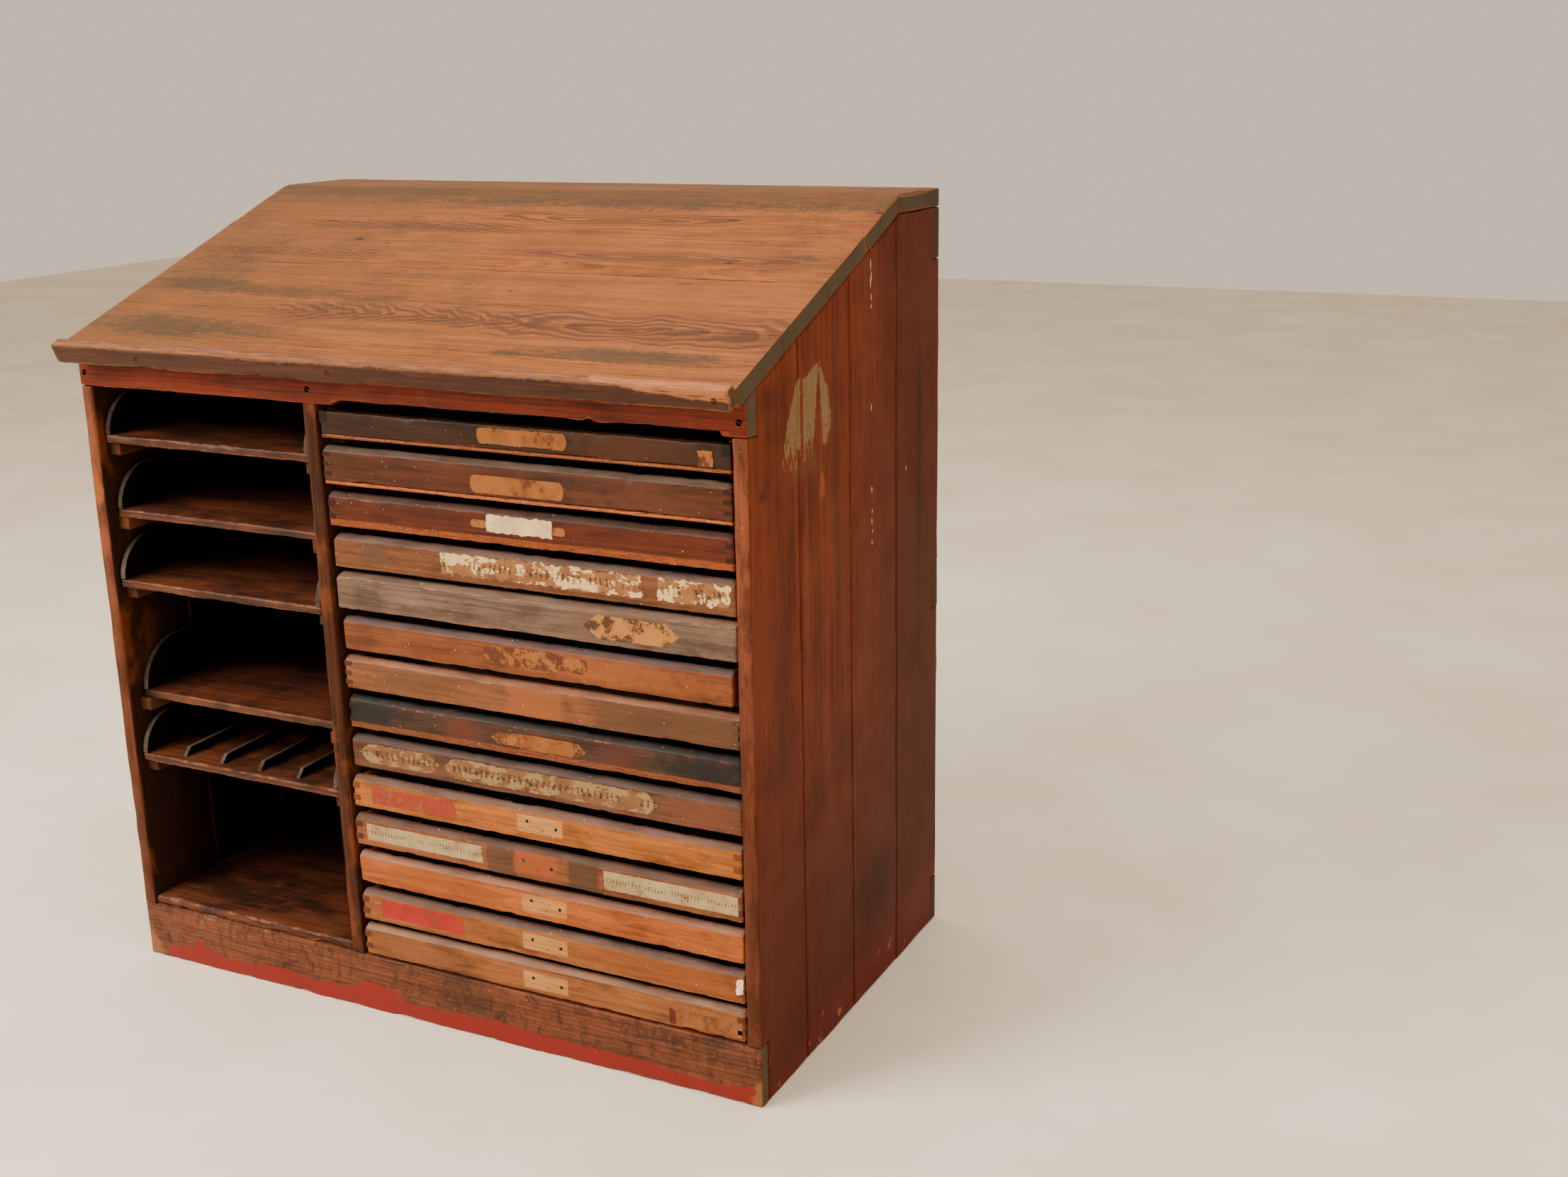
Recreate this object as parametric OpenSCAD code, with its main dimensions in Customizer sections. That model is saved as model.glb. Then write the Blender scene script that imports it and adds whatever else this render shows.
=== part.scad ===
// Compositor's cabinet: a sloping desk top over a bay of type cases and a bay of open trays.
// +X is to the right, +Y to the back and +Z up. The origin is under the middle of the cabinet.

/* [Carcass] */
// Outside width
body_w = 1130; // [1100:5:1180]
// Depth of the sides, from front edge to back edge
body_d = 650; // [630:5:700]
// Height of the flat top
body_h = 1208; // [1170:2:1260]
// Thickness of the side boards and of the centre divider
side_t = 22; // [18:1:24]
// Thickness of the flat top board
top_t = 28; // [22:1:32]
// Depth of the flat top, from the slope to the back edge
flat_d = 158; // [120:2:180]
// Height of the front rail at its face
rail_h = 49; // [40:1:55]
// Thickness of the front rail
rail_t = 28; // [24:1:32]
// Height of the plinth board
plinth_h = 92; // [70:1:92]
// Thickness of the plinth board
plinth_t = 22; // [18:1:24]

/* [Desk] */
// Thickness of the sloping boards
slope_t = 26; // [22:1:30]
// How far the sloping boards run past the front of the rail
overhang = 18; // [10:1:25]
// Thickness of the ledge along the front of the desk
ledge_t = 20; // [16:1:24]
// Width of the ledge strip
ledge_h = 32; // [28:1:36]

/* [Type cases] */
// Width of a full case
case_w = 652; // [640:1:655]
// Depth of a case
case_d = 560; // [500:10:580]
// Height of a case's front
case_h = 44; // [40:1:46]
// Spacing of the cases, bottom to bottom
case_pitch = 61.7; // [61:0.1:63]
// Thickness of a case's front board
front_t = 16; // [12:1:20]
// Compartments across a case
case_columns = 8; // [4:1:10]
// Compartments from the front of a case to its back
case_rows = 4; // [2:1:6]

/* [Trays] */
// Depth of a tray
tray_d = 540; // [450:10:580]
// Thickness of a tray's board
tray_t = 13; // [10:1:15]
// Dividers in the lowest tray
tray_divider_count = 4; // [1:1:6]

/* [Hidden] */
CASES = 14;
TRAYS = 5;
SIDES = [-1, 1];
hairline = 0.3;             // gap left between neighbouring boards and blocks
facets = 48;

// Outline of the carcass, seen from the side
rail_z = 945;               // underside of the front rail
slope_z = rail_z + rail_h;  // underside of the slope at the front of the sides
flat_under = body_h - top_t;
slope_run = body_d - flat_d;
slope_rise = flat_under - slope_z;
slope_angle = atan(slope_rise / slope_run);
slope_length = slope_run / cos(slope_angle);
lip_rise = 4;               // the ledge is set this far above the underside of the slope
lip_start = -overhang / cos(slope_angle);
ledge_reach = (overhang + ledge_t * cos(slope_angle)) + (lip_rise + ledge_h) * sin(slope_angle);
front_y = (ledge_reach - body_d) / 2;
left_x = -body_w / 2;
right_x = body_w / 2;

// Boards of the carcass
board_y = [0, 147, 313, 480];  // where each upright board starts, counted from the front edge
back_rail_h = 77;
back_rail_t = 22;
back_rail_z = [0, 551, flat_under - back_rail_h];
back_board_t = 14;
back_board_count = 7;
inner_d = body_d - back_rail_t - back_board_t;
slope_joints = [lip_start, 118, 262, 400, slope_length];

// The case bay lies right of the divider and the tray bay left of it
case_clear_left = 7;
case_clear_right = 2;
case_bay_w = case_w + case_clear_left + case_clear_right;
case_bay_x = right_x - side_t - case_bay_w;
tray_bay_x = left_x + side_t;
tray_bay_w = case_bay_x - side_t - tray_bay_x;
divider_x = case_bay_x - side_t;
recess_h = 7;               // the rail is cut back this far above the cases
recess_end = 13;
recess_start = 30;

// Type cases, counted from the top
case_base = plinth_h + 4;
case_wall = 11;
case_wall_h = 40;
bottom_t = 5;
bevel_h = 6;
bevel_d = 8;
bar_t = 4;
middle_bar_t = 8;
bar_h = 28;
middle_bar_h = 34;
narrow_case = 6;
narrow_by = 15;
moulded_case = 1;
case_setback = [0, 0, 3, 5, 4, 3, 7, 9, 8, 2, 0, 1, 1, 0];
front_drop = [0, 0, 5, 5, 5, 5, 5, 5, 4, 4, 4, 4, 4, 0];    // how far a front hangs below its case
front_rise = [0, 10, 0, 0, 5, 0, 0, 0, 0, 0, 0, 0, 0, 4];   // how much taller a front is than case_h
low_case = 2;
low_by = 5;
edge_shows = [1, 2];        // cases whose bottom board runs out under the front board
runner_w = 22;
runner_h = 14;
runner_setback = 30;        // behind the back face of the case front that stands back the most
runner_end = 24;            // gap between a runner and the back boards

// Trays, counted from the top
tray_z = [856, 739, 629, 443, 341];
tray_setback = [11, 17, 6, 25, 8];
cheek_h = [63, 65, 64, 75, 58];
cheek_t = 10;
cheek_inset = 0.5;
tray_back_t = 12;
tray_clear = 5;
cleat_w = 22;
cleat_h = 20;
cleat_setback = 20;
floor_t = 15;
floor_setback = 3;
divider_t = 8;
divider_h = 14;
divider_back_h = 20;
divider_slant = 12;
divider_setback = 12;
divider_shift = 10;         // the row of dividers stands this far left of even spacing

// Screws in the rail and the ledge
screw_r = 4.5;
screw_head = 2.5;
screw_shank_r = 2.1;
screw_shank = 16;
screw_gap = 0.3;
slot_w = 1.2;
slot_d = 1;
rail_screw_x = [left_x + side_t / 2, divider_x + side_t / 2, right_x - side_t / 2];
rail_screw_z = rail_z + 20;
ledge_screw_x = [-401, -53, 543];

function two(i) = str(i < 10 ? "0" : "", i);
function case_node(i, part) = str("case_", two(i), "_", part);
function tray_node(i, part) = str("tray_", i, "_", part);
function side_node(side, i) = str(side < 0 ? "left" : "right", "_side_board_", i);
function case_z(i) = case_base + (CASES - i) * case_pitch - (i == low_case ? low_by : 0);
function has(list, i) = len(search(i, list)) > 0;
function case_narrow(i) = i == narrow_case ? narrow_by : 0;
function underside(y) = min(slope_z + y * tan(slope_angle), flat_under);

CARCASS = [
    "top_front_rail", "plinth_board", "slope_boards", "flat_top_board", "front_ledge", "centre_divider",
    "tray_bay_floor", "back_boards", "back_rails", "case_runners", "tray_cleats", "screws"
];

// Extrudes a side-view outline of [y, z] points along +X
module along_x(length) {
    rotate([90, 0, 90]) linear_extrude(length) children();
}

// Puts a part at the front edge of the sides, with x, y and z counted from the left outer corner
module in_carcass(x = 0, y = 0, z = 0) {
    translate([left_x + x, front_y + y, z]) children();
}

// Turns a part so that its Y runs up the slope and its Z away from the slope's underside
module on_slope() {
    in_carcass(0, 0, slope_z) rotate([slope_angle, 0, 0]) children();
}

// One upright board: cut under the desk, and notched for the rail, the plinth and the back rails
module upright_board(i, notch_back) {
    y0 = board_y[i - 1];
    y1 = i < 4 ? board_y[i] - hairline : (notch_back ? body_d : inner_d - hairline);
    corner = [for (y = [y0, y1]) [y, underside(y)]];
    crest = (y0 < slope_run && y1 > slope_run) ? [[slope_run, flat_under]] : [];
    along_x(side_t) difference() {
        polygon(concat([[y0, 0], corner[0]], crest, [corner[1], [y1, 0]]));
        if (i == 1) {
            translate([-1, -1]) square([plinth_t + 1, plinth_h + 1]);
            translate([-1, rail_z]) square([rail_t + 1, body_h]);
        }
        if (i == 4 && notch_back)
            for (z = back_rail_z)
                translate([body_d - back_rail_t, z]) square([back_rail_t + 1, back_rail_h]);
    }
}

module side_board(side, i) {
    color("sienna") in_carcass(side < 0 ? 0 : body_w - side_t) upright_board(i, true);
}

module centre_divider() {
    color("saddlebrown") in_carcass(divider_x - left_x)
        for (i = [1:4]) upright_board(i, false);
}

// A countersunk hole and its screw, both pointing along +Y from the board's face
module screw_hole() {
    rotate([-90, 0, 0]) {
        translate([0, 0, -1]) cylinder(h = screw_head + 1.3, r = screw_r + screw_gap, $fn = facets);
        cylinder(h = screw_head + screw_shank + 1, r = screw_shank_r + screw_gap, $fn = facets);
    }
}

module screw() {
    rotate([-90, 0, 0]) difference() {
        union() {
            cylinder(h = screw_head, r = screw_r, $fn = facets);
            cylinder(h = screw_head + screw_shank, r = screw_shank_r, $fn = facets);
        }
        rotate([0, 0, 25]) cube([3 * screw_r, slot_w, 2 * slot_d], center = true);
    }
}

module at_rail_screws() {
    for (x = rail_screw_x) translate([x, front_y, rail_screw_z]) children();
}

module at_ledge_screws() {
    for (x = ledge_screw_x) on_slope()
        translate([x - left_x, lip_start - ledge_t, lip_rise + ledge_h / 2]) children();
}

module screws() {
    color("dimgray") {
        at_rail_screws() screw();
        at_ledge_screws() screw();
    }
}

// The rail laps over the front of both sides and is cut back above the cases
module top_front_rail() {
    color("brown") difference() {
        in_carcass() along_x(body_w)
            polygon([
                [0, rail_z],
                [0, slope_z - hairline],
                [rail_t, underside(rail_t) - hairline],
                [rail_t, rail_z]
            ]);
        translate([case_bay_x + recess_start, front_y - 1, rail_z - 1])
            cube([case_bay_w - recess_start - recess_end, rail_t + 2, recess_h + 1]);
        at_rail_screws() screw_hole();
    }
}

module plinth_board() {
    color("firebrick") in_carcass() cube([body_w, plinth_t, plinth_h]);
}

module slope_boards() {
    color("peru") on_slope() for (i = [0:3]) {
        last = i == 3;
        along_x(body_w) polygon([
            [slope_joints[i], 0],
            [slope_joints[i], slope_t],
            [slope_joints[i + 1] + (last ? slope_t * tan(slope_angle) : -hairline), slope_t],
            [slope_joints[i + 1] - (last ? 0 : hairline), 0]
        ]);
    }
}

module flat_top_board() {
    color("rosybrown") in_carcass(0, slope_run, flat_under) cube([body_w, flat_d, top_t]);
}

// The ledge is nailed on the lower edge of the slope and stands up past it as a stop
module front_ledge() {
    color("brown") difference() {
        on_slope() translate([0, lip_start - ledge_t, lip_rise]) cube([body_w, ledge_t, ledge_h]);
        at_ledge_screws() screw_hole();
    }
}

module tray_bay_floor() {
    color("saddlebrown") in_carcass(side_t, floor_setback, plinth_h)
        cube([tray_bay_w, inner_d - floor_setback, floor_t]);
}

module back_boards() {
    inner_w = body_w - 2 * side_t;
    each_w = inner_w / back_board_count;
    color("saddlebrown") for (i = [0:back_board_count - 1])
        in_carcass(side_t + i * each_w, inner_d)
            cube([each_w - hairline, back_board_t, flat_under]);
}

// Three rails across the back, let into the back edges of the sides
module back_rails() {
    color("sienna") for (z = back_rail_z)
        in_carcass(0, body_d - back_rail_t, z) cube([body_w, back_rail_t, back_rail_h]);
}

module case_runners() {
    run = inner_d - runner_setback - runner_end;
    color("saddlebrown") for (i = [1:CASES], x = [case_bay_x, right_x - side_t - runner_w])
        translate([x, front_y + runner_setback, case_z(i) - hairline - runner_h])
            cube([runner_w, run, runner_h]);
}

module tray_cleats() {
    run = inner_d - cleat_setback - runner_end;
    color("saddlebrown") for (i = [0:TRAYS - 1], x = [tray_bay_x, divider_x - cleat_w])
        translate([x, front_y + cleat_setback, tray_z[i] - hairline - cleat_h])
            cube([cleat_w, run, cleat_h]);
}

// Puts a part in case i, with x, y and z counted from the lower left front corner of the case
module in_case(i) {
    translate([
        case_bay_x + case_clear_left + case_narrow(i) / 2,
        front_y + case_setback[i - 1],
        case_z(i)
    ]) children();
}

// Front board of a case, bevelled along its upper edge, or with a raised moulding on it
module case_front(i, width) {
    raised_h = 5;
    shoulder = 26;
    base = has(edge_shows, i) ? bottom_t + hairline : -front_drop[i - 1];
    top = case_h + front_rise[i - 1];
    face_h = top - bevel_h;
    if (i == moulded_case) {
        along_x(width) polygon([[0, base], [0, face_h], [front_t, face_h], [front_t, base]]);
        translate([shoulder, 0, 0]) along_x(width - 2 * shoulder) polygon([
            [2, face_h - 1], [2, face_h + 3], [5, face_h + 5], [5, face_h + 7],
            [front_t - 3, top + raised_h], [front_t, top + raised_h], [front_t, face_h - 1]
        ]);
    } else {
        along_x(width) polygon([
            [0, base], [0, face_h], [bevel_d, top], [front_t, top], [front_t, base]
        ]);
    }
}

// Front, two sides and back standing round a bottom board
module case_frame(i) {
    width = case_w - case_narrow(i);
    side_d = case_d - front_t - case_wall - 2 * hairline;
    bottom_y = has(edge_shows, i) ? 0 : front_t + hairline;
    wall_z = bottom_t + hairline;
    color("chocolate") in_case(i) {
        case_front(i, width);
        translate([0, bottom_y, 0]) cube([width, case_d - bottom_y, bottom_t]);
        for (x = [0, width - case_wall])
            translate([x, front_t + hairline, wall_z]) cube([case_wall, side_d, case_wall_h - wall_z]);
        translate([0, case_d - case_wall, wall_z]) cube([width, case_wall, case_wall_h - wall_z]);
    }
}

// Bars across the case, and short bars from front to back between them
module case_dividers(i) {
    inner_w = case_w - case_narrow(i) - 2 * case_wall;
    column = (inner_w - bar_t) / case_columns;
    row = (case_d - front_t - case_wall) / case_rows;
    z = bottom_t + hairline;
    middle = case_rows / 2;
    color("peru") in_case(i) translate([case_wall, front_t, z]) {
        for (r = [1:case_rows - 1]) {
            thick = r == middle ? middle_bar_t : bar_t;
            translate([hairline, r * row - thick / 2, 0])
                cube([inner_w - 2 * hairline, thick, r == middle ? middle_bar_h : bar_h]);
        }
        for (r = [0:case_rows - 1], c = [1:case_columns - 1]) {
            gap = middle_bar_t / 2 + hairline;
            translate([c * column, r * row + gap, 0]) cube([bar_t, row - 2 * gap, bar_h]);
        }
    }
}

// Puts a part in tray i, counted from the lower left front corner of the tray's board
module in_tray(i) {
    translate([tray_bay_x + tray_clear, front_y + tray_setback[i - 1], tray_z[i - 1]]) children();
}

tray_w = tray_bay_w - 2 * tray_clear;

module tray_board(i) {
    color("saddlebrown") in_tray(i) cube([tray_w, tray_d, tray_t]);
}

module cheek_outline(h) {
    run = tray_d - tray_back_t - hairline;
    intersection() {
        square([run, h]);
        union() {
            translate([h, 0]) circle(r = h, $fn = 2 * facets);
            translate([h, 0]) square([run - h, h]);
        }
    }
}

// Two cheeks with a quarter-round front and a back board, standing on the tray's board
module tray_cheeks(i) {
    h = cheek_h[i - 1];
    color("gray") in_tray(i) translate([0, 0, tray_t]) {
        for (x = [cheek_inset, tray_w - cheek_t - cheek_inset]) translate([x, 0, 0])
            along_x(cheek_t) cheek_outline(h);
        translate([cheek_inset, tray_d - tray_back_t, 0]) cube([tray_w - 2 * cheek_inset, tray_back_t, h]);
    }
}

// Low dividers with slanted front ends, in the lowest tray
module tray_5_dividers() {
    inner_w = tray_w - 2 * (cheek_t + cheek_inset);
    pitch = (inner_w + divider_t) / (tray_divider_count + 1);
    back = tray_d - tray_back_t - hairline;
    color("gray") in_tray(5) for (k = [1:tray_divider_count])
        translate([cheek_t + k * pitch - divider_shift - divider_t / 2, 0, tray_t])
            along_x(divider_t) polygon([
                [divider_setback, 0],
                [divider_setback + divider_slant, divider_h],
                [back, divider_back_h],
                [back, 0]
            ]);
}

top_front_rail();
plinth_board();
slope_boards();
flat_top_board();
front_ledge();
centre_divider();
tray_bay_floor();
back_boards();
back_rails();
case_runners();
tray_cleats();
screws();
for (side = SIDES, i = [1:4])
    side_board(side, i);
for (i = [1:CASES]) {
    case_frame(i);
    case_dividers(i);
}
for (i = [1:TRAYS]) {
    tray_board(i);
    tray_cheeks(i);
}
tray_5_dividers();
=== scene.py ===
"""Looks of the compositor's cabinet: worn boards, type cases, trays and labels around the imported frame.

Everything is in metres, in the frame's own axes: +X right, +Y back, +Z up."""

import math
import random
from collections import namedtuple

import bmesh
import bpy
from mathutils import Matrix, Vector, noise


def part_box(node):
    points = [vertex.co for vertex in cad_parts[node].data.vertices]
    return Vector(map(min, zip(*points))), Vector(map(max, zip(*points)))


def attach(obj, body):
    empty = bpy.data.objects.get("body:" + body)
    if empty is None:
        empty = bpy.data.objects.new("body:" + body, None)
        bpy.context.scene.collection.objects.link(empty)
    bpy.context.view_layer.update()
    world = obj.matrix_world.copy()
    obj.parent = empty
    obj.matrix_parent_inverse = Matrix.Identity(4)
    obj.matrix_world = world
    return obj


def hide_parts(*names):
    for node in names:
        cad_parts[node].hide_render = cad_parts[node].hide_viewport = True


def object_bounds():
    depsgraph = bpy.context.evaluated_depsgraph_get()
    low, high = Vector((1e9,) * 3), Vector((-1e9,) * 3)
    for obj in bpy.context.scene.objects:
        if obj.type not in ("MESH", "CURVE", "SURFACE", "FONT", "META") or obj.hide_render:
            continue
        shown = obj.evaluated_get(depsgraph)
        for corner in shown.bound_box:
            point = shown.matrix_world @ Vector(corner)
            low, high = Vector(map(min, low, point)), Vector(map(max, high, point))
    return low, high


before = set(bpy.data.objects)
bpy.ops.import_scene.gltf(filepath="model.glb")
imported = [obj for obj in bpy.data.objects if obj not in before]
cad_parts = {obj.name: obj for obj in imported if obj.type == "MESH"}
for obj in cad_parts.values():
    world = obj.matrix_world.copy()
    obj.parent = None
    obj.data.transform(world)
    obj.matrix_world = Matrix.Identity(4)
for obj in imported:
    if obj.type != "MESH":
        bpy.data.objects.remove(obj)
cad_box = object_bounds()

CASES = range(1, 15)
TRAYS = range(1, 6)
SLOPE_ANGLE = math.radians(20.709)    # of the desk boards, as in the part's source
BODY_LO, BODY_HI = Vector(cad_box[0]), Vector(cad_box[1])
SIDE_T = 0.022                        # thickness of the side boards
FRONT_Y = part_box("plinth_board")[0].y
RAIL_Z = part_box("top_front_rail")[0].z
LEDGE_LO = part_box("front_ledge")[0]
LEDGE_H = 0.032                       # height of the front ledge, square to the slope
LEDGE_FOOT_Y = LEDGE_LO.y + LEDGE_H * math.sin(SLOPE_ANGLE)
LEDGE_ARRIS = LEDGE_LO.z + LEDGE_H * math.cos(SLOPE_ANGLE)


# ---------------------------------------------------------------- reading the frame

meshes_in_use = []    # keeps every bmesh alive for as long as its faces are used


def solids(node):
    """The separate solids of a CAD node, each as a list of welded bmesh faces, in mesh order."""
    bm = bmesh.new()
    meshes_in_use.append(bm)
    bm.from_mesh(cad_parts[node].data)
    bmesh.ops.remove_doubles(bm, verts=bm.verts, dist=1e-6)
    bm.verts.index_update()
    bm.faces.index_update()
    seen = set()
    found = []
    for start in list(bm.verts):
        if start.index in seen:
            continue
        seen.add(start.index)
        queue = [start]
        faces = {}
        while queue:
            vert = queue.pop()
            for face in vert.link_faces:
                faces[face.index] = face
            for edge in vert.link_edges:
                other = edge.other_vert(vert)
                if other.index not in seen:
                    seen.add(other.index)
                    queue.append(other)
        found.append([faces[i] for i in sorted(faces)])
    return found


def span(faces, axis):
    """Lowest and highest coordinate of some faces along an axis."""
    values = [v.co[axis] for f in faces for v in f.verts]
    return min(values), max(values)


def outline_of(faces, axis):
    """Outline of the end face of a solid that was extruded along an axis, as points in the other two."""
    top = span(faces, axis)[1]
    u, w = (axis + 1) % 3, (axis + 2) % 3
    cap = [f for f in faces if all(abs(v.co[axis] - top) < 1e-6 for v in f.verts)]
    count = {}
    for face in cap:
        for edge in face.edges:
            count[edge] = count.get(edge, 0) + 1
    following = {}
    for face in cap:
        for loop in face.loops:
            if count[loop.edge] == 1:
                following[loop.vert] = loop.link_loop_next.vert
    start = min(following, key=lambda v: (v.co[u], v.co[w]))
    points = [start]
    while following[points[-1]] is not start:
        points.append(following[points[-1]])
    points = [Vector((v.co[u], v.co[w])) for v in points]
    return counter_clockwise(without_straights(points))


def without_straights(points):
    """Drops the points of an outline at which it doesn't turn."""
    kept = []
    for i, point in enumerate(points):
        before = (point - points[i - 1]).normalized()
        after = (points[(i + 1) % len(points)] - point).normalized()
        if before.dot(after) < 0.99999:
            kept.append(point)
    return kept


LONG = 0.1    # a solid that is longer than this along an axis runs along it


def is_long(faces, axis):
    """Whether a solid runs along an axis, instead of being a few millimetres thick there."""
    lo, hi = span(faces, axis)
    return hi - lo > LONG


def counter_clockwise(points):
    area = sum(a.x * b.y - b.x * a.y for a, b in zip(points, points[1:] + points[:1]))
    return points if area > 0 else points[::-1]


def rectangle(lo, hi):
    return [Vector((lo[0], lo[1])), Vector((hi[0], lo[1])), Vector((hi[0], hi[1])), Vector((lo[0], hi[1]))]


def clipped(points, side, level):
    """Part of a convex outline with its second coordinate above (side 1) or below (side -1) a level."""
    kept = []
    for a, b in zip(points, points[1:] + points[:1]):
        in_a, in_b = (a.y - level) * side >= 0, (b.y - level) * side >= 0
        if in_a:
            kept.append(a)
        if in_a != in_b:
            kept.append(a.lerp(b, (level - a.y) / (b.y - a.y)))
    return kept


# ---------------------------------------------------------------- meshes

SHARP_TURN = math.radians(20)
ARC = (0.0, 0.33, 0.67, 1.0)


def left_of(direction):
    return Vector((-direction.y, direction.x))


def corner_radii(points, radius):
    """How much of each corner is rounded off: nothing where the outline hardly turns."""
    radii = []
    for i, corner in enumerate(points):
        before, after = points[i - 1] - corner, points[(i + 1) % len(points)] - corner
        sharp = math.pi - before.angle(after) >= SHARP_TURN
        radii.append(min(radius, 0.3 * before.length, 0.3 * after.length) if sharp else 0.0)
    return radii


class RingPoint:
    """A point of an outline that knows where it goes when the outline is drawn in."""

    def __init__(self, base, slide, reach=None, radius=0.0, convex=True):
        self.base, self.slide = base, slide
        self.reach = reach or Vector((0, 0))
        self.radius, self.convex = radius, convex
        self.weight = 1.0 if radius else 0.0

    def at(self, inset):
        shrink = self.radius / (self.radius + inset) if self.radius and self.convex else 1.0
        return self.base + self.slide * inset + self.reach * shrink


def ring_points(points, radius, support, step):
    """The outline with its corners rounded and with more points along its sides."""
    radii = corner_radii(points, radius)
    made = []
    for i, corner in enumerate(points):
        following = points[(i + 1) % len(points)]
        before, after = (corner - points[i - 1]).normalized(), (following - corner).normalized()
        inward, inward_next = left_of(before), left_of(after)
        slide = (inward + inward_next) / max(0.3, 1 + inward.dot(inward_next))
        if radii[i]:
            a, b = -before * radii[i], after * radii[i]
            for t in ARC:
                reach = (a * (1 - t)).lerp(b * t, t)
                made.append(RingPoint(corner, slide, reach, radii[i], inward.dot(after) > 0))
        else:
            made.append(RingPoint(corner, slide))
        run = (following - corner).length
        start = 1.5 * radii[i] + 1.6 * support if radii[i] else 0.0
        next_radius = radii[(i + 1) % len(points)]
        end = run - (1.5 * next_radius + 1.6 * support if next_radius else 0.0)
        if start >= end:
            continue
        count = max(1, round((end - start) / step))
        stops = [start + (end - start) * k / count for k in range(count + 1)]
        for stop in stops:
            if 0 < stop < run:
                made.append(RingPoint(corner + after * stop, inward_next))
    return made


def stations(lo, hi, radius, support, step):
    """(place along the length, inset, edge weight) of each ring, with both ends rounded off.

    A weight of None marks the flat end faces, where nothing is worn."""
    turn = [(radius, 0.0, 1.0), (0.33 * radius, 0.3 * radius, 1.0), (0.0, radius, 1.0),
            (0.0, radius + support, None)]
    start, end = lo + radius + support, hi - radius - support
    count = max(1, int((end - start) / step))
    inner = [(start + (end - start) * k / count, 0.0, 0.0) for k in range(count + 1)]
    low = [(lo + at, inset, weight) for at, inset, weight in reversed(turn)]
    high = [(hi - at, inset, weight) for at, inset, weight in turn]
    return low + inner + high


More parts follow.
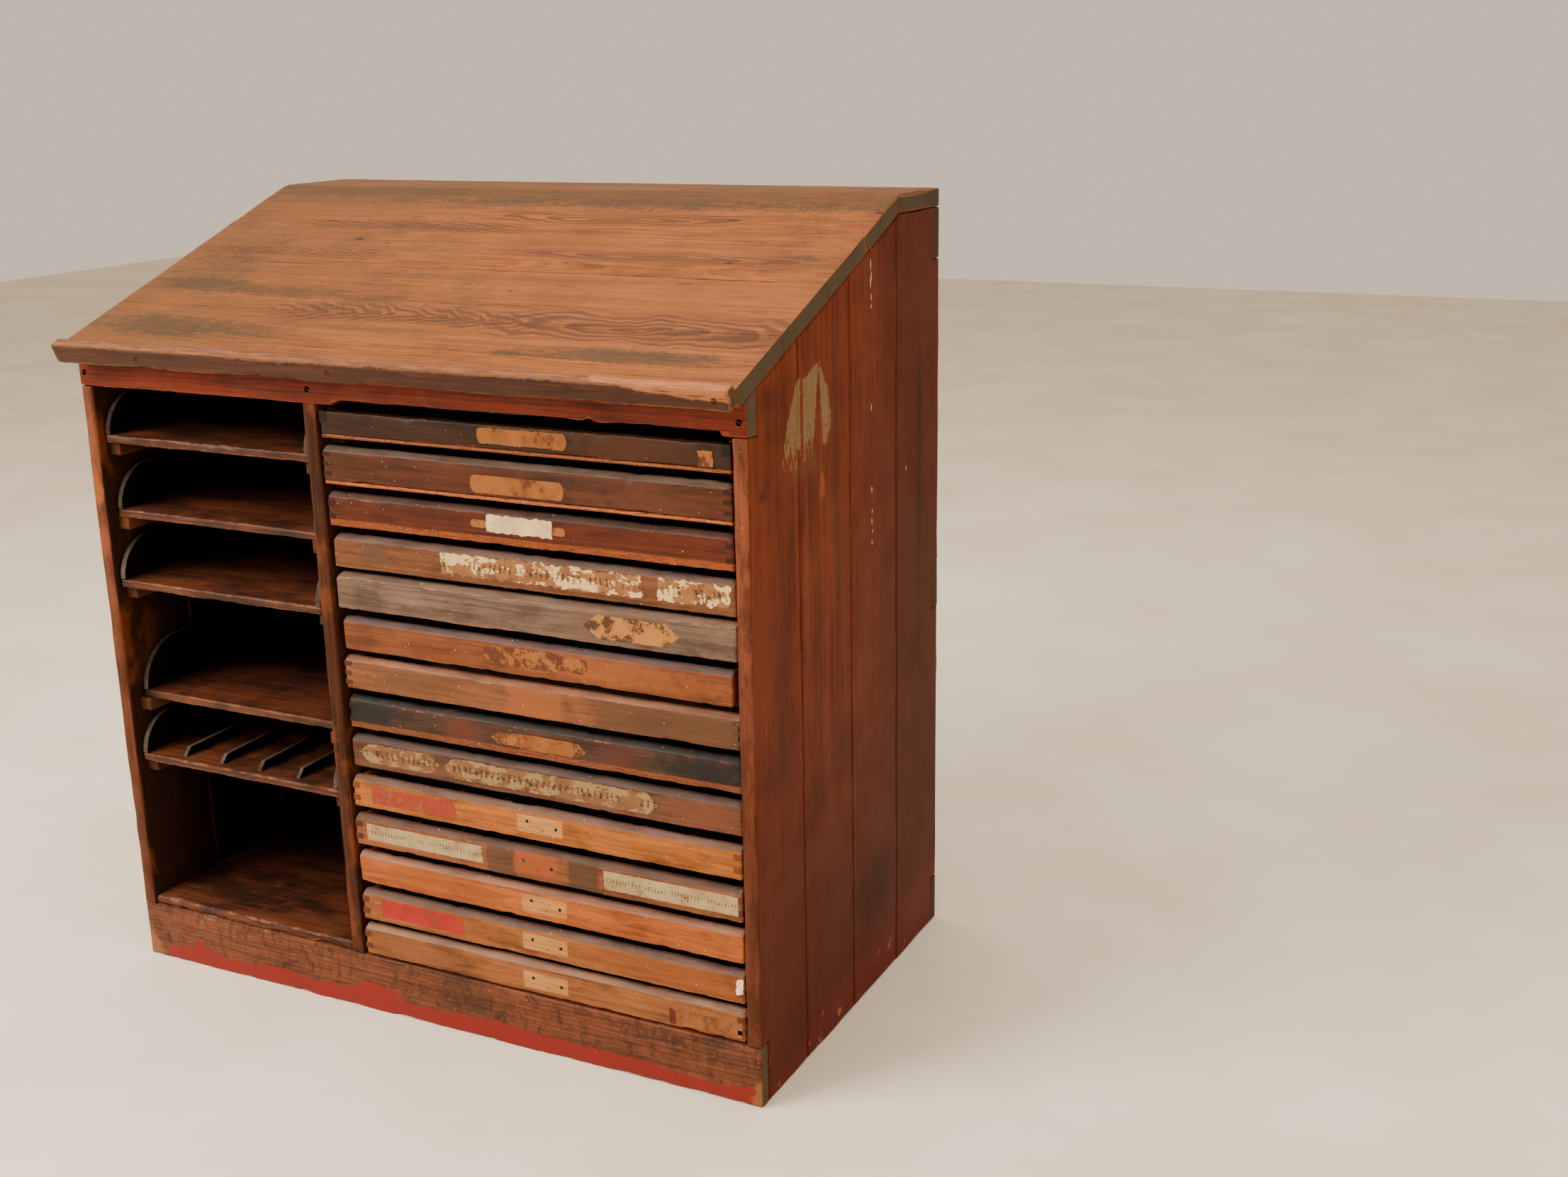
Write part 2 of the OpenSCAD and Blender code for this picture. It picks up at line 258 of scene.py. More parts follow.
class Piece:
    """A mesh put together from worn prisms, then made into one object."""

    def __init__(self, name):
        self.name = name
        self.random = random.Random(name)
        self.points, self.faces, self.end_faces = [], [], []
        self.grain, self.edge, self.tone = [], [], []

    def prism(self, outline, axis, lo, hi, radius=0.0012, wear=0.001, step=0.02, side_step=0.05,
              support=0.002, grain=None, tone=0.0, tilt=0.0, push=None, centred=False):
        """Extrudes an outline along an axis, with rounded and unevenly worn arrises.

        grain is the axis that the wood grain follows, which is the extrusion's if it isn't given. push is a
        function that moves a finished point, for chips and wavy edges."""
        u, w = (axis + 1) % 3, (axis + 2) % 3
        size = [max(p[k] for p in outline) - min(p[k] for p in outline) for k in (0, 1)]
        radius = min(radius, 0.2 * min(size), 0.2 * (hi - lo))
        support = min(support, 0.1 * min(size), 0.1 * (hi - lo))
        ring = ring_points(outline, radius, support, side_step)
        rings = stations(lo, hi, radius, support, step)
        shift = Vector([self.random.uniform(0, 50) for _ in range(3)])
        first = len(self.points)
        for at, inset, end_weight in rings:
            outward = 1 if at > (lo + hi) / 2 else -1
            for point in ring:
                flat = point.at(inset)
                place = Vector((0, 0, 0))
                place[axis], place[u], place[w] = at, flat.x, flat.y
                worn = 0.0 if end_weight is None else max(point.weight, end_weight)
                if wear and worn:
                    depth = wear * dent(place + shift)
                    place[u] += point.slide.x * depth
                    place[w] += point.slide.y * depth
                    if end_weight:
                        place[axis] -= depth * outward
                self.points.append(push(place) if push else place)
                self.edge.append(worn)
        n = len(ring)
        for r in range(len(rings) - 1):
            a, b = first + r * n, first + (r + 1) * n
            for i in range(n):
                j = (i + 1) % n
                self.faces.append((a + i, a + j, b + j, b + i))
        self.end_faces += [len(self.faces), len(self.faces) + 1]
        self.faces.append([first + i for i in reversed(range(n))])
        self.faces.append([first + (len(rings) - 1) * n + i for i in range(n)])
        self.add_grain(first, axis if grain is None else grain, tilt, centred)
        self.tone += [tone] * (len(self.points) - first)

    def add_grain(self, first, axis, tilt, centred):
        """Wood coordinates of the last part: along the grain, across the board and through its thickness."""
        turn = Matrix.Rotation(-tilt, 3, "X")
        local = [turn @ p for p in self.points[first:]]
        lo = [min(p[k] for p in local) for k in range(3)]
        hi = [max(p[k] for p in local) for k in range(3)]
        cross = sorted((k for k in range(3) if k != axis), key=lambda k: lo[k] - hi[k])
        width = hi[cross[0]] - lo[cross[0]]
        start = self.random.uniform(0, 20)
        heart = 0.0 if centred else self.random.uniform(-0.6, 0.6) * width
        depth = self.random.uniform(0.01, 0.05)
        middle = (lo[cross[0]] + hi[cross[0]]) / 2
        for p in local:
            across, through = p[cross[0]] - middle + heart, p[cross[1]] - lo[cross[1]] + depth
            self.grain.append((p[axis] + start, across, through))

    def box(self, lo, hi, axis=0, **settings):
        u, w = (axis + 1) % 3, (axis + 2) % 3
        self.prism(rectangle((lo[u], lo[w]), (hi[u], hi[w])), axis, lo[axis], hi[axis], **settings)

    def solid(self, faces, axis=0, **settings):
        """A worn copy of a CAD solid that is a prism along an axis."""
        self.prism(outline_of(faces, axis), axis, *span(faces, axis), **settings)

    def make(self, material, body, *replaced):
        mesh = bpy.data.meshes.new(self.name)
        mesh.from_pydata([tuple(p) for p in self.points], [], self.faces)
        mesh.update()
        values = mesh.attributes.new("grain", "FLOAT_VECTOR", "POINT")
        values.data.foreach_set("vector", [c for g in self.grain for c in g])
        for name, numbers in (("edge", self.edge), ("tone", self.tone)):
            mesh.attributes.new(name, "FLOAT", "POINT").data.foreach_set("value", numbers)
        mesh.shade_smooth()
        mesh.set_sharp_from_angle(angle=math.radians(40))
        for k in self.end_faces:
            mesh.polygons[k].use_smooth = False
        mesh.materials.append(material)
        piece = bpy.data.objects.new(self.name, mesh)
        bpy.context.scene.collection.objects.link(piece)
        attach(piece, body)
        if replaced:
            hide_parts(*replaced)


def dent(place):
    """From 0 to 1, how far an arris is worn away at a place."""
    long_wave = noise.noise(place * 14)
    nick = noise.noise(place * 75)
    chip = max(0.0, noise.noise(place * 38) - 0.25) * 1.6
    return min(1.0, max(0.0, 0.28 + 0.5 * long_wave + 0.22 * nick + chip))


# ---------------------------------------------------------------- shading

def rgb(red, green, blue):
    """A colour given as display values from 0 to 255, made linear."""
    def linear(value):
        value /= 255
        return value / 12.92 if value <= 0.04045 else ((value + 0.055) / 1.055) ** 2.4
    return (linear(red), linear(green), linear(blue), 1.0)


def shade(colour, factor):
    """Display values of a lighter or darker colour."""
    return tuple(factor * value for value in colour)


class Shader:
    """One node material. Each method adds nodes and returns the socket that carries the result."""

    def __init__(self, name, slot=None, **settings):
        self.material = bpy.data.materials.new(name)
        self.material["slot"] = slot or name
        self.material.use_nodes = True
        self.nodes = self.material.node_tree.nodes
        self.surface = self.nodes["Principled BSDF"]
        for socket, value in settings.items():
            self.surface.inputs[socket.replace("_", " ")].default_value = value
        coordinates = self.node("TexCoord").outputs
        self.place, self.normal = coordinates["Object"], coordinates["Normal"]
        self.x, self.y, self.z = self.split(self.place)
        self.grain = self.node("Attribute", attribute_name="grain").outputs["Vector"]
        self.along, self.across, self.depth = self.split(self.grain)
        self.edge = self.node("Attribute", attribute_name="edge").outputs["Fac"]
        self.tone = self.node("Attribute", attribute_name="tone").outputs["Fac"]

    def node(self, kind, *values, **settings):
        made = self.nodes.new("ShaderNode" + kind)
        for key, value in settings.items():
            setattr(made, key, value)
        for socket, value in zip(made.inputs, values):
            self.feed(socket, value)
        return made

    def feed(self, socket, value):
        if isinstance(value, bpy.types.NodeSocket):
            self.material.node_tree.links.new(value, socket)
        elif value is not None:
            socket.default_value = value

    def split(self, vector):
        return tuple(self.node("SeparateXYZ", vector).outputs)

    def math(self, operation, a, b=None, c=None):
        return self.node("Math", a, b, c, operation=operation).outputs[0]

    def times(self, a, b, plus=None):
        """a times b, with a third value added if there is one."""
        return self.math("MULTIPLY" if plus is None else "MULTIPLY_ADD", a, b, plus)

    def plus(self, a, b):
        return self.math("ADD", a, b)

    def vector(self, operation, a, b=None):
        made = self.node("VectorMath", a, b, operation=operation)
        return made.outputs["Value" if operation == "LENGTH" else "Vector"]

    def clamp01(self, value):
        return self.node("Clamp", value).outputs[0]

    def step(self, value, lo, hi, out_lo=0.0, out_hi=1.0):
        """A smooth step from out_lo at lo to out_hi at hi."""
        made = self.node("MapRange", value, lo, hi, out_lo, out_hi, interpolation_type="SMOOTHSTEP")
        return made.outputs[0]

    def mix(self, amount, a, b, blend="MIX"):
        """a where the amount is 0 and b where it is 1. A colour is a socket or three display values."""
        made = self.node("Mix", data_type="RGBA", blend_type=blend, clamp_factor=True)
        for index, value in ((0, amount), (6, a), (7, b)):
            self.feed(made.inputs[index], rgb(*value) if isinstance(value, tuple) else value)
        return made.outputs[2]

    def stain(self, colour, tint, pattern, lo, hi, amount=1.0):
        """Tints a colour where a pattern is high: not at all below lo, and by the amount above hi."""
        return self.mix(self.step(pattern, lo, hi, 0.0, amount), colour, tint)

    def fade(self, colour, tint, pattern, lo, hi, amount=1.0):
        """Tints a colour where a pattern is low: by the amount below lo, and not at all above hi."""
        return self.mix(self.step(pattern, lo, hi, amount, 0.0), colour, tint)

    def spot(self, colour, tint, strength, *patch):
        """Tints a colour inside a patch."""
        return self.mix(self.times(self.patch(*patch), strength), colour, tint)

    def noise(self, scale, detail=3, rough=0.55, distortion=0.0, at=None):
        """Cloudy noise from 0 to 1. scale is how fine it is, as a number or along each axis."""
        per_axis = scale if isinstance(scale, tuple) else (scale, scale, scale)
        where = self.vector("MULTIPLY", at or self.place, per_axis)
        made = self.node("TexNoise", where, None, 1.0, detail, rough, None, None, None, distortion)
        return made.outputs["Fac"]

    def patch(self, centre, size, soft, ragged, grit, square=False):
        """1 inside a blob or a rectangle in the object's own coordinates, with an uneven border.

        A size of None along an axis reaches all the way along it."""
        scale = [0.0 if s is None else 1.0 / s for s in size]
        away = self.vector("MULTIPLY", self.vector("SUBTRACT", self.place, centre), scale)
        if square:
            parts = self.split(self.vector("ABSOLUTE", away))
            distance = self.math("MAXIMUM", self.math("MAXIMUM", parts[0], parts[1]), parts[2])
        else:
            distance = self.vector("LENGTH", away)
        distance = self.plus(distance, self.times(self.noise(grit), 2 * ragged, -ragged))
        return self.step(distance, 1.0 - soft, 1.0, 1.0, 0.0)

    def region(self, corners, plane, soft, ragged, grit):
        """1 inside a convex outline, given counter-clockwise in two of the object's own coordinates."""
        across, up = ((self.x, self.y, self.z)[k] for k in plane)
        inside = None
        for (u0, w0), (u1, w1) in zip(corners, corners[1:] + corners[:1]):
            length = math.hypot(u1 - u0, w1 - w0)
            normal_u, normal_w = (w0 - w1) / length, (u1 - u0) / length
            offset = -(normal_u * u0 + normal_w * w0)
            depth = self.times(across, normal_u, self.times(up, normal_w, offset))
            inside = depth if inside is None else self.math("MINIMUM", inside, depth)
        uneven = self.times(self.noise(grit, 4), 2 * ragged, -ragged)
        return self.step(self.plus(inside, uneven), 0.0, soft)

    def specks(self, scale, size, share):
        """Small separate dots on a share of the cells of a random pattern."""
        cells = self.node("TexVoronoi", self.place, None, scale)
        dot = self.step(cells.outputs["Distance"], 0.6 * size * scale, size * scale, 1.0, 0.0)
        chosen = self.step(self.split(cells.outputs["Color"])[0], 1 - share, 1 - share + 0.02)
        return self.times(dot, chosen)

    def rings(self, gap, wander):
        """Year rings: dark late wood that fades into the next ring, from 0 to 1.

        wander is how far the heart of the tree strays along the board, in metres."""
        sway = self.noise((1.3, 3, 3), 2, at=self.grain)
        dive = self.noise((1.7, 2, 2), 2, at=self.grain)
        side = self.plus(self.times(sway, wander, -wander / 2), self.across)
        deep = self.plus(self.times(dive, 2 * wander, -wander), self.depth)
        radius = self.math("SQRT", self.times(side, side, self.times(deep, deep)))
        wobble = self.noise((14, 120, 120), 4, 0.65, at=self.grain)
        count = self.times(radius, 1 / gap, self.times(wobble, 0.6))
        return self.math("POWER", self.math("FRACT", count), 2.2)

    def fibre(self):
        """Fine fibres that run with the grain."""
        return self.noise((14, 620, 620), 5, 0.6, at=self.grain)

    def finish(self, colour, roughness, height=None, bump=0.35, depth=0.0006):
        self.feed(self.surface.inputs["Base Color"], colour)
        self.feed(self.surface.inputs["Roughness"], roughness)
        if height is not None:
            made = self.node("Bump", bump, depth)
            self.feed(made.inputs["Height"], height)
            self.feed(self.surface.inputs["Normal"], made.outputs[0])
        return self.material


WHITE_SPECK = (235, 228, 215)


def wood(name, light, dark, bare, slot=None, gap=0.006, figure=0.5, wear=0.5, grime=0.3,
         grime_colour=(38, 30, 24), gloss=0.5, shine=0.18, specks=0.0, wander=0.012, contrast=1.0,
         local=None):
    """Old wood. light and dark are its finish, bare is the wood where the arrises are rubbed through.

    contrast is how strongly grain and stains show.
    local is a function that paints this part's own marks: it takes the shader and the colour, and returns
    the colour."""
    s = Shader(name, slot, Specular_IOR_Level=shine)
    rings, fibre = s.rings(gap, wander), s.fibre()
    blotch = s.noise(9, 6, 0.65)
    cloud = s.noise(3, 3)
    streak = s.noise((6, 110, 110), 6, 0.7, at=s.grain)
    pattern = s.times(rings, figure, s.times(fibre, 1.6))
    pattern = s.plus(pattern, s.times(blotch, 1.2, s.times(streak, 2.2, -2.25)))
    pattern = s.times(pattern, contrast, 0.45 * (1 - contrast))
    colour = s.mix(s.clamp01(pattern), shade(light, 1.03), shade(dark, 0.72))
    colour = s.mix(s.times(s.tone, 0.8), colour, s.mix(0.85, colour, dark, "MULTIPLY"))
    raw = s.mix(s.clamp01(s.times(fibre, 0.9, -0.2)), bare, shade(bare, 0.62))
    if grime:
        dirt = s.step(s.plus(blotch, s.times(cloud, 0.8, -0.4)), 0.68 - 0.35 * grime, 1.0)
        colour = s.mix(s.times(dirt, min(1.0, 2 * grime)), colour, grime_colour)
    scuff = s.noise(42, 6, 0.7)
    rubbed = s.times(scuff, 1.6, s.edge)
    rubbed = s.step(rubbed, 2.2 - 0.6 * wear, 2.4 - 0.6 * wear)
    colour = s.mix(s.times(rubbed, 0.9), colour, raw)
    if local:
        colour = local(s, colour)
    if specks:
        colour = s.mix(s.specks(75, 0.0009, specks), colour, WHITE_SPECK)
        colour = s.mix(s.specks(160, 0.0006, specks), colour, WHITE_SPECK)
    rough = s.times(blotch, 0.3, 0.9 - gloss - 0.15)
    rough = s.times(rubbed, 0.25, rough)
    height = s.times(fibre, 0.6, s.times(rings, 0.7 * figure))
    height = s.math("SUBTRACT", height, s.times(rubbed, 0.8))
    return s.finish(colour, s.clamp01(rough), height)


def paint_side(s, colour):
    """Painted sides: faint upright streaks, painted shade towards the floor, darker to the back, dull front
    edges.
    """
    colour = s.stain(colour, (52, 22, 12), s.noise((30, 34, 0.7), 4), 0.5, 0.75, 0.4)
    colour = s.stain(colour, (118, 60, 30), s.noise((22, 60, 1.1), 3), 0.55, 0.8, 0.5)
    # painted shade: the sides go darker towards the floor
    colour = s.fade(colour, (62, 16, 2), s.plus(s.z, s.times(s.noise(5), 0.5)), 0.2, 1.15, 0.85)
    colour = s.stain(colour, (66, 18, 3), s.times(s.noise(6), 0.1, s.y), 0.02, 0.30, 0.75)
    colour = s.stain(colour, (120, 70, 40), s.noise((120, 160, 12), 4, 0.7), 0.68, 0.74, 0.35)
    cloud = s.noise((40, 40, 11), 6, 0.65)
    edge = s.mix(s.step(cloud, 0.38, 0.62), (122, 66, 43), (76, 41, 27))
    edge = s.stain(edge, (150, 98, 64), s.noise(60, 5, 0.7), 0.62, 0.68, 0.6)
    edge = s.fade(edge, (62, 30, 18), s.times(s.noise(7, 4), 0.3, s.z), 0.55, 0.95, 0.6)
    return s.fade(colour, edge, s.y, FRONT_Y + 0.001, FRONT_Y + 0.003, 0.95)


# Middle and half length of the rubbed part of the left front edge
LEFT_RUB_Z, LEFT_RUB_H = 0.788, 0.045


def paint_left(s, colour):
    """The left side, with a rubbed length on its front edge, and a dark inner face with painted shade away
    from the front.
    """
    colour = paint_side(s, colour)
    middle = (BODY_LO.x + 0.008, FRONT_Y, LEFT_RUB_Z)
    colour = s.spot(colour, (130, 72, 36), 1.0, middle, (0.016, 0.004, LEFT_RUB_H), 0.5, 0.7, 45)
    inner = BODY_LO.x + SIDE_T
    # the inner face takes the insides' colour with their painted shade
    return s.stain(colour, paint_inside(s, (40, 21, 12)), s.x, inner - 0.002, inner - 0.0005)


# Where the paint has come off the right side in three tongues, as (y, z) outlines
PEELED = (
    ((-0.196, 0.880), (-0.147, 0.878), (-0.146, 1.000), (-0.160, 0.990), (-0.184, 0.945), (-0.204, 0.895)),
    ((-0.138, 0.885), (-0.112, 0.880), (-0.100, 0.940), (-0.088, 1.010), (-0.108, 1.006), (-0.139, 0.992)),
    ((-0.078, 0.896), (-0.058, 0.894), (-0.050, 0.925), (-0.060, 0.970), (-0.088, 1.012)),
)
# The greyed paint below the tongues, as a (y, z) outline
FADED = ((-0.190, 0.850), (-0.060, 0.850), (-0.058, 0.900), (-0.195, 0.900))
# Pale paint that ran or dripped on the right side: y, z and half the length of each mark
PAINT_DRIPS = (
    (0.092, 1.147, 0.006), (0.087, 1.120, 0.010), (0.089, 1.104, 0.008), (0.086, 1.095, 0.009),
    (0.089, 1.074, 0.006), (0.088, 1.062, 0.004), (0.088, 0.918, 0.006), (0.088, 0.797, 0.005),
    (0.089, 0.765, 0.004), (0.088, 0.750, 0.006), (0.090, 0.735, 0.003), (0.088, 0.718, 0.005),
    (0.217, 0.802, 0.003), (0.040, 1.130, 0.007),
)
# Sooty patches on the right side: y, z, half width, half height and strength
SOOT = (
    (0.09, 0.17, 0.11, 0.07, 0.4), (-0.263, 0.864, 0.02, 0.012, 0.6), (0.269, 0.80, 0.02, 0.35, 0.5),
    (-0.02, 0.45, 0.05, 0.06, 0.3), (-0.21, 0.55, 0.03, 0.25, 0.3), (-0.24, 0.985, 0.05, 0.03, 0.5),
    (0.24, 0.55, 0.13, 0.60, 0.20), (-0.02, 0.12, 0.40, 0.30, 0.15),
)


def paint_right(s, colour):
    """The right side: peeled paint, drips, sooty patches and a red foot."""
    colour = paint_side(s, colour)
    right = BODY_HI.x
    outer = s.step(s.x, right - 0.004, right - 0.002)
    fade = s.region(FADED, (1, 2), 0.04, 0.02, 14)
    grey = s.step(s.noise((1, 160, 22), 4), 0.3, 0.6)
    colour = s.mix(s.times(s.times(fade, grey), 0.65), colour, (86, 62, 42))
    peeled = 0.0
    for tongue in PEELED:
        peeled = s.math("MAXIMUM", peeled, s.region(tongue, (1, 2), 0.001, 0.006, 120))
    crumbs = s.noise((1, 170, 60), 5, 0.7)
    crumbs = s.plus(crumbs, s.step(s.z, 0.88, 0.96, -0.10, 0.10))
    peeled = s.times(s.times(peeled, s.step(crumbs, 0.40, 0.44)), outer)
    bare = s.mix(s.noise((1, 160, 14), 4), (92, 68, 44), (124, 96, 62))
    colour = s.mix(peeled, colour, bare)
    for y, z, length in PAINT_DRIPS:
        colour = s.spot(colour, (152, 138, 106), outer, (right, y, z), (None, 0.0021, length), 0.3, 0.6, 300)
    for y, z, width, height, strength in SOOT:
        colour = s.spot(colour, (22, 11, 5), strength, (right, y, z), (None, width, height), 0.9, 0.5, 14)
    colour = s.spot(colour, (138, 66, 26), 0.7, (right, -0.081, 0.838), (None, 0.012, 0.03), 0.8, 0.6, 80)
    foot = s.times(s.noise(14), 0.06, s.times(s.y, -0.14, s.z))
    colour = s.fade(colour, (84, 18, 12), foot, 0.07, 0.115, 0.7)
    rub = s.noise(30, 5, 0.7)
    rub = s.times(s.step(rub, 0.6, 0.66), s.step(s.z, 0.02, 0.09, 1.0, 0.0))
    return s.mix(rub, colour, (134, 76, 40))


# Where the red band on the plinth rises in a mound: x and half width
RED_MOUNDS, MOUND_H = ((-0.455, 0.016), (-0.1, 0.075)), 0.048


def paint_plinth(s, colour):
    """Streaky brown with a band of red along the foot, whose border rises and falls."""
    colour = s.stain(colour, (38, 21, 14), s.noise((60, 1, 38), 7, 0.75, distortion=0.8), 0.48, 0.64, 0.7)
    colour = s.stain(colour, (122, 92, 54), s.noise((60, 60, 210), 4, 0.75), 0.60, 0.66, 0.7)
    band = s.times(s.noise(9, 4), 0.030, 0.012)
    red = s.step(s.math("SUBTRACT", s.z, band), -0.001, 0.001, 1.0, 0.0)
    for x, width in RED_MOUNDS:
        red = s.math("MAXIMUM", red, s.patch((x, FRONT_Y, 0.0), (width, None, MOUND_H), 0.1, 0.25, 40))
    start = s.times(s.noise(25), 0.03, s.x)
    red = s.times(red, s.step(start, BODY_LO.x + 0.05, BODY_LO.x + 0.06))
    front = s.step(s.y, FRONT_Y + 0.002, FRONT_Y + 0.004, 1.0, 0.0)
    red = s.times(red, front)
    chips = s.step(s.noise(55, 5, 0.7), 0.28, 0.32)
    colour = s.mix(s.times(red, chips), colour, (121, 28, 22))
    for x, w in ((BODY_LO.x, 0.03), (BODY_HI.x, 0.02)):
        colour = s.spot(colour, (123, 77, 44), 1.0, (x, FRONT_Y, 0.0), (w, None, 0.05), 0.3, 0.6, 70)
    return olive_ends(s, colour)


def olive_ends(s, colour):
    """Dull olive paint on the end grain of the boards that show at the right side."""
    end = s.step(s.x, BODY_HI.x - 0.0012, BODY_HI.x - 0.0004)
    crack = s.step(s.noise((1, 260, 30), 3), 0.66, 0.7)
    olive = s.mix(s.times(crack, 0.85), (61, 46, 26), (13, 9, 5))
    olive = s.stain(olive, (43, 35, 22), s.noise(20), 0.4, 0.75, 0.5)
    return s.mix(end, colour, olive)


# Grime on the slope: middle and half size in x and y, strength and how solid it is
DESK_GRIME = (
    (0.00, 0.190, 1.60, 0.095, 0.80, 0.35), (0.20, 0.150, 0.70, 0.030, 0.70, 0.20),
    (-0.42, -0.262, 0.22, 0.055, 0.95, 0.30), (-0.28, -0.262, 0.20, 0.040, 0.80, 0.15),
    (-0.44, -0.140, 0.17, 0.044, 0.95, 0.25),
    (-0.28, -0.150, 0.20, 0.034, 0.85, 0.20), (-0.10, -0.158, 0.14, 0.014, 0.70, 0.00),
    (-0.425, -0.066, 0.040, 0.014, 0.90, 0.20), (0.36, -0.270, 0.30, 0.030, 0.95, 0.30),
    (0.20, -0.279, 0.06, 0.014, 0.95, 0.25), (0.50, 0.000, 0.060, 0.014, 0.85, 0.15),
    (0.36, -0.080, 0.030, 0.008, 0.60, 0.10), (-0.05, -0.240, 0.36, 0.018, 0.55, 0.00),
    (0.48, -0.110, 0.09, 0.010, 0.50, 0.00), (0.50, -0.145, 0.08, 0.012, 0.55, 0.00),
    (-0.52, 0.06, 0.07, 0.10, 0.35, 0.00), (0.08, -0.222, 0.03, 0.008, 0.80, 0.20),
)
# Knots: x, y and half their width across the grain
KNOTS = ((-0.27, 0.015, 0.006), (0.344, 0.104, 0.006), (0.399, -0.02, 0.004), (0.557, 0.137, 0.006),
         (0.10, -0.12, 0.003), (-0.21, 0.005, 0.003), (0.42, 0.04, 0.0025), (0.14, -0.035, 0.003))
# Red streaks in the slope: middle and half size in x and y
RED_STREAKS = ((0.035, -0.032, 0.09, 0.005), (0.365, -0.026, 0.13, 0.004), (0.16, -0.002, 0.25, 0.003),
               (-0.20, -0.205, 0.10, 0.003), (0.54, 0.095, 0.04, 0.010))
# Figures where the saw ran along the heart: middle, half length, half width, number of lines, and whether
# they are long closed loops or a row of chevrons
HEART_FIGURES = ((0.356, -0.203, 0.25, 0.034, 3.6, True), (-0.03, -0.198, 0.26, 0.022, 13.0, False),
                 (-0.36, -0.030, 0.20, 0.012, 10.0, False), (0.28, -0.012, 0.26, 0.014, 3.0, True),
                 (0.14, 0.100, 0.24, 0.018, 3.0, True), (-0.20, 0.060, 0.22, 0.014, 10.0, False))


def heart_figure(s, x, y, length, width, lines, loops):
    """Dark lines nested inside each other, drawn out along the grain."""
    drift = s.noise((7, 12, 12), 2)
    across = s.times(drift, 1.6, s.times(s.y, 1 / width, -y / width - 0.8))
    along = s.times(s.x, 1 / length, -x / length)
    zigzag = s.noise((38, 12, 12), 3, 0.6)
    if loops:
        squares = s.times(across, across, s.times(along, along))
        size = s.times(s.math("SQRT", squares), lines, s.times(zigzag, 0.8))
    else:
        size = s.times(along, 0.5 * lines, s.times(s.math("ABSOLUTE", across), 1.8))
        size = s.plus(size, s.times(zigzag, 2.0))
    line = s.step(s.math("FRACT", size), 0.25, 0.75)
    near = s.times(s.step(s.math("ABSOLUTE", across), 0.75, 1.3, 1.0, 0.0),
                  s.step(s.math("ABSOLUTE", along), 0.7, 1.1, 1.0, 0.0))
    return s.times(line, near)


def paint_desk(s, colour):
    """The slope: bands of colour along the grain, heart figure, grime, knots and scratches."""
    colour = s.stain(colour, (132, 76, 38), s.noise((0.7, 26, 26), 4), 0.42, 0.62, 0.5)
    colour = s.stain(colour, (84, 46, 22), s.noise((1.1, 40, 40), 4), 0.5, 0.7, 0.5)
    colour = s.stain(colour, (74, 42, 22), s.noise((2.5, 330, 330), 5, 0.65), 0.48, 0.66, 0.45)
    colour = s.fade(colour, (88, 56, 31), s.times(s.noise(4), 0.4, s.x), -0.55, 0.45, 0.7)
    for figure in HEART_FIGURES:
        colour = s.mix(s.times(heart_figure(s, *figure), 0.72), colour, (58, 33, 19))
    for x, y, reach, width in RED_STREAKS:
        colour = s.spot(colour, (112, 44, 22), 0.7, (x, y, 0.0), (reach, width, None), 0.7, 0.6, 60)
    drag = s.noise((18, 150, 150), 8, 0.8)
    swirl = s.noise((70, 45, 45), 7, 0.75, distortion=1.5)
    smear = s.times(drag, 2.2, s.times(swirl, 1.6, -1.9))
    region = s.plus(s.noise(4.5, 3), s.step(s.x, -0.5, 0.3, 0.10, -0.04))
    colour = s.stain(colour, (64, 44, 29), s.times(region, 1.5, smear), 0.75, 1.35, 0.6)
    for x, y, width, height, strength, solid in DESK_GRIME:
        near = s.patch((x, y, 0.0), (width, height, None), 0.95, 0.25, 18)
        cover = s.step(s.plus(near, smear), 0.40 - solid, 1.20 - solid)
        cover = s.times(cover, s.step(near, 0.02, 0.35))
        colour = s.mix(s.times(cover, 0.85 * strength), colour, (56, 43, 27))
    fleck = s.noise((55, 190, 190), 6, 0.8)
    often = s.plus(fleck, s.step(s.times(s.y, 0.8, s.x), -0.6, 0.5, 0.05, 0.0))
    colour = s.stain(colour, (64, 45, 28), often, 0.60, 0.68, 0.55)
    for x, y, size in KNOTS:
        colour = s.spot(colour, (40, 25, 16), 0.85, (x, y, 0.0), (2.4 * size, size, None), 0.7, 0.5, 120)
    colour = s.stain(colour, (70, 44, 25), s.noise((26, 240, 240), 3, 0.75), 0.63, 0.7, 0.6)
    pale = s.noise((30, 200, 200), 4, 0.75, distortion=0.5)
    colour = s.stain(colour, (168, 108, 59), pale, 0.66, 0.74, 0.5)
    return olive_ends(s, colour)


def paint_flat(s, colour):
    """A dusty top that runs into the grime at the head of the slope."""
    dust = s.noise((4, 30, 30), 5)
    colour = s.mix(s.step(dust, 0.3, 0.7, 0.2, 0.75), colour, (98, 67, 38))
    near = s.times(s.noise(12, 4), 0.03, s.y)
    colour = s.fade(colour, (68, 48, 31), near, 0.195, 0.225, 0.85)
    return olive_ends(s, colour)


def paint_front_edges(s, colour):
    """Darker handling marks on a front edge, and small pale dents."""
    colour = s.stain(colour, (128, 78, 48), s.noise(60, 5, 0.7), 0.62, 0.68, 0.6)
    return s.stain(colour, (46, 26, 17), s.noise((30, 30, 9), 4), 0.48, 0.7, 0.6)


# Where the lower edge of the rail is cut back above the cases and by how much, how long each end of this
# recess is, and how far up the rail it reaches
RECESS_START, RECESS_END, RECESS_H = -0.088, 0.530, 0.007
RECESS_RAMP, RECESS_FADE = 0.004, 0.024
